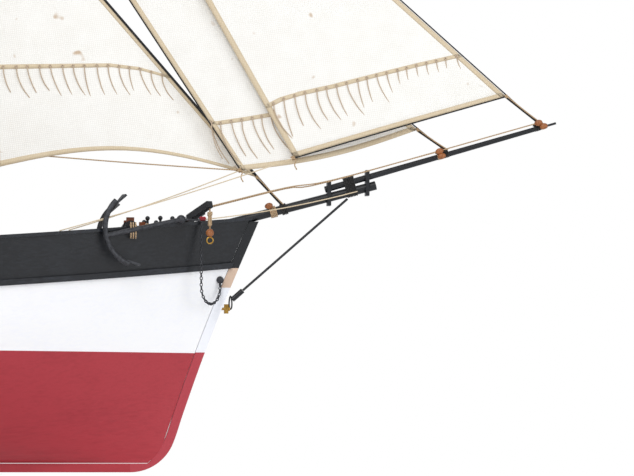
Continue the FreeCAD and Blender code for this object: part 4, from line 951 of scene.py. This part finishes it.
# turns of line round the anchor's shank and the rail
lashing = dict(spots=(0.3462, 0.3478, 0.3494), height=0.1822, outboard=0.0047, halfWide=0.0028,
               inboardScale=2.2, halfHigh=0.0050, radius=0.00042)
anchorLash = []
for x in lashing["spots"]:
    y = hullSide(x, 0.17) - lashing["outboard"]
    loop = []
    for a in angles(24):
        wide = lashing["halfWide"] * (1.0 if math.cos(a) < 0 else lashing["inboardScale"])
        loop.append(Vector((x, y + wide * math.cos(a),
                            lashing["height"] + lashing["halfHigh"] * math.sin(a))))
    anchorLash.append(loop)
ropes("anchorLashing", anchorLash, lashing["radius"], tanLine, "ship", "tan_rope")

# red fairlead on the rail
fairlead = dict(x=0.3938, size=(0.0046, 0.0034, 0.0030), rounding=0.0006, inboard=0.0016, rise=0.0015)
lead = bmesh.new()
bmesh.ops.create_cube(lead, size=1.0)
bmesh.ops.scale(lead, vec=fairlead["size"], verts=lead.verts)
bmesh.ops.bevel(lead, geom=lead.edges[:], offset=fairlead["rounding"], segments=3, affect="EDGES")
leadMesh = bpy.data.meshes.new("redFairlead")
lead.to_mesh(leadMesh)
lead.free()
leadX = fairlead["x"]
leadY, leadZ = hullSide(leadX, 0.18) + fairlead["inboard"], railTop(leadX) + fairlead["rise"]
leadMesh.transform(Matrix.Translation((leadX, leadY, leadZ)))
redLead = addObject("redFairlead", leadMesh, "ship", "red_paint")
setMaterials(redLead, redPaint)

# coils of spare line on the belaying pins, each with a loop hanging below
pinLine = dict(cell=0.004, below=0.0068, radius=0.0004,
               turns=dict(radius=0.0015, pitch=0.0008, turns=4, steps=10),
               loop=dict(halfLong=0.0026, out=0.0022, down=0.0045, halfHigh=0.0048))
pinTops = {}
for v in nodes["belaying_pins"].data.vertices:
    key = (round(v.co.x / pinLine["cell"]), v.co.y > 0)
    if key not in pinTops or v.co.z > pinTops[key].z:
        pinTops[key] = v.co.copy()
pinCoils = []
for top in pinTops.values():
    centre = top - Vector((0, 0, pinLine["below"]))
    pinCoils.append(coil(centre, (0.15, 0.1, 1), **pinLine["turns"]))
    loop, inboard = pinLine["loop"], -1 if top.y > 0 else 1
    pinCoils.append([centre + Vector((loop["halfLong"] * math.cos(a), inboard * loop["out"],
                                      loop["halfHigh"] * math.sin(a) - loop["down"])) for a in angles(16)])
ropes("pinCoils", pinCoils, pinLine["radius"], tanLine, "ship", "tan_rope", sides=6)

# ratlines on every set of shrouds
rungs = dict(spacing=0.012, firstAbove=0.010, clearBelow=0.012, radius=0.00028, mastSplit=0.06)


# lowest and highest point of every separate solid of a node
def legEnds(node):
    shape = bmesh.new()
    shape.from_mesh(nodes[node].data)
    bmesh.ops.remove_doubles(shape, verts=shape.verts, dist=2e-6)
    ends, met = [], set()
    for start in shape.verts:
        if start in met:
            continue
        island, stack = [], [start]
        met.add(start)
        while stack:
            vertex = stack.pop()
            island.append(vertex.co.copy())
            for edge in vertex.link_edges:
                other = edge.other_vert(vertex)
                if other not in met:
                    met.add(other)
                    stack.append(other)
        ends.append((min(island, key=lambda c: c.z), max(island, key=lambda c: c.z)))
    shape.free()
    return ends


legs = legEnds("shrouds")
ratlines = []
for fore in (True, False):
    for port in (True, False):
        group = [leg for leg in legs if (leg[0].x > rungs["mastSplit"]) == fore and (leg[0].y > 0) == port]
        group.sort(key=lambda leg: leg[0].x)
        top = min(high.z for low, high in group)
        z = max(low.z for low, high in group) + rungs["firstAbove"]
        while z < top - rungs["clearBelow"]:
            ratlines.append([low.lerp(high, (z - low.z) / (high.z - low.z)) for low, high in group])
            z += rungs["spacing"]
ropes("ratlines", ratlines, rungs["radius"], blackLine, "ship", "black_rope", sides=6)


# Stage, light and camera
print("stage")
floorEdges = dict(aft=-2.4, fore=2.8, side=2.4)
floorCorners = [(floorEdges["aft"], -floorEdges["side"], 0), (floorEdges["fore"], -floorEdges["side"], 0),
                (floorEdges["fore"], floorEdges["side"], 0), (floorEdges["aft"], floorEdges["side"], 0)]
floorMesh = bpy.data.meshes.new("floor")
floorMesh.from_pydata(floorCorners, [], [(0, 1, 2, 3)])
floor = bpy.data.objects.new("floor", floorMesh)
bpy.context.scene.collection.objects.link(floor)
floorMaterial, _, floorShader = newMaterial("paleFloor", Roughness=0.9)
floorShader.inputs["Base Color"].default_value = linear("#F4F4F4")
setMaterials(floor, floorMaterial)

world = bpy.data.worlds.new("studio")
bpy.context.scene.world = world
world.use_nodes = True
worldTree = world.node_tree
worldTree.nodes.clear()
rays = addNode(worldTree, "ShaderNodeLightPath")
directView = maths(worldTree, "MAXIMUM", rays.outputs["Is Camera Ray"], rays.outputs["Is Transmission Ray"])
ambient = addNode(worldTree, "ShaderNodeBackground", None, {"Color": linear("#F2F5FA"), "Strength": 0.62})
backdrop = addNode(worldTree, "ShaderNodeBackground", None, {"Color": (1, 1, 1, 1), "Strength": 1.0})
chosen = addNode(worldTree, "ShaderNodeMixShader", None,
                 {0: directView, 1: ambient.outputs[0], 2: backdrop.outputs[0]})
addNode(worldTree, "ShaderNodeOutputWorld", None, {"Surface": chosen.outputs[0]})

lights = {
    "keyPanel": dict(place=(-0.6, -2.6, 2.4), aim=(0.35, 0, 0.3), size=1.8, power=46),
    "fillPanel": dict(place=(2.6, -2.0, 0.9), aim=(0.35, 0, 0.3), size=1.6, power=18),
    "backPanel": dict(place=(0.4, 2.6, 2.0), aim=(0.3, 0, 0.3), size=1.8, power=14),
}
for name, light in lights.items():
    lamp = bpy.data.lights.new(name, "AREA")
    lamp.size = light["size"]
    lamp.energy = light["power"]
    lampObject = bpy.data.objects.new(name, lamp)
    lampObject.location = light["place"]
    aim = Vector(light["aim"]) - Vector(light["place"])
    lampObject.rotation_euler = aim.to_track_quat("-Z", "Y").to_euler()
    bpy.context.scene.collection.objects.link(lampObject)

cameraSettings = dict(target=(0.4693, 0.0, 0.1801), distance=3.0, azimuth=-5.0, elevation=-3.0,
                      frameWidth=0.412)
camera = bpy.data.objects.new("camera", bpy.data.cameras.new("camera"))
bpy.context.scene.collection.objects.link(camera)
azimuth = math.radians(cameraSettings["azimuth"])
elevation = math.radians(cameraSettings["elevation"])
away = Vector((math.sin(azimuth) * math.cos(elevation), -math.cos(azimuth) * math.cos(elevation),
               math.sin(elevation)))
camera.location = Vector(cameraSettings["target"]) + away * cameraSettings["distance"]
camera.rotation_euler = (-away).to_track_quat("-Z", "Y").to_euler()
camera.data.angle = 2 * math.atan(cameraSettings["frameWidth"] / 2 / cameraSettings["distance"])
bpy.context.scene.camera = camera
bpy.context.scene.view_settings.view_transform = "Standard"
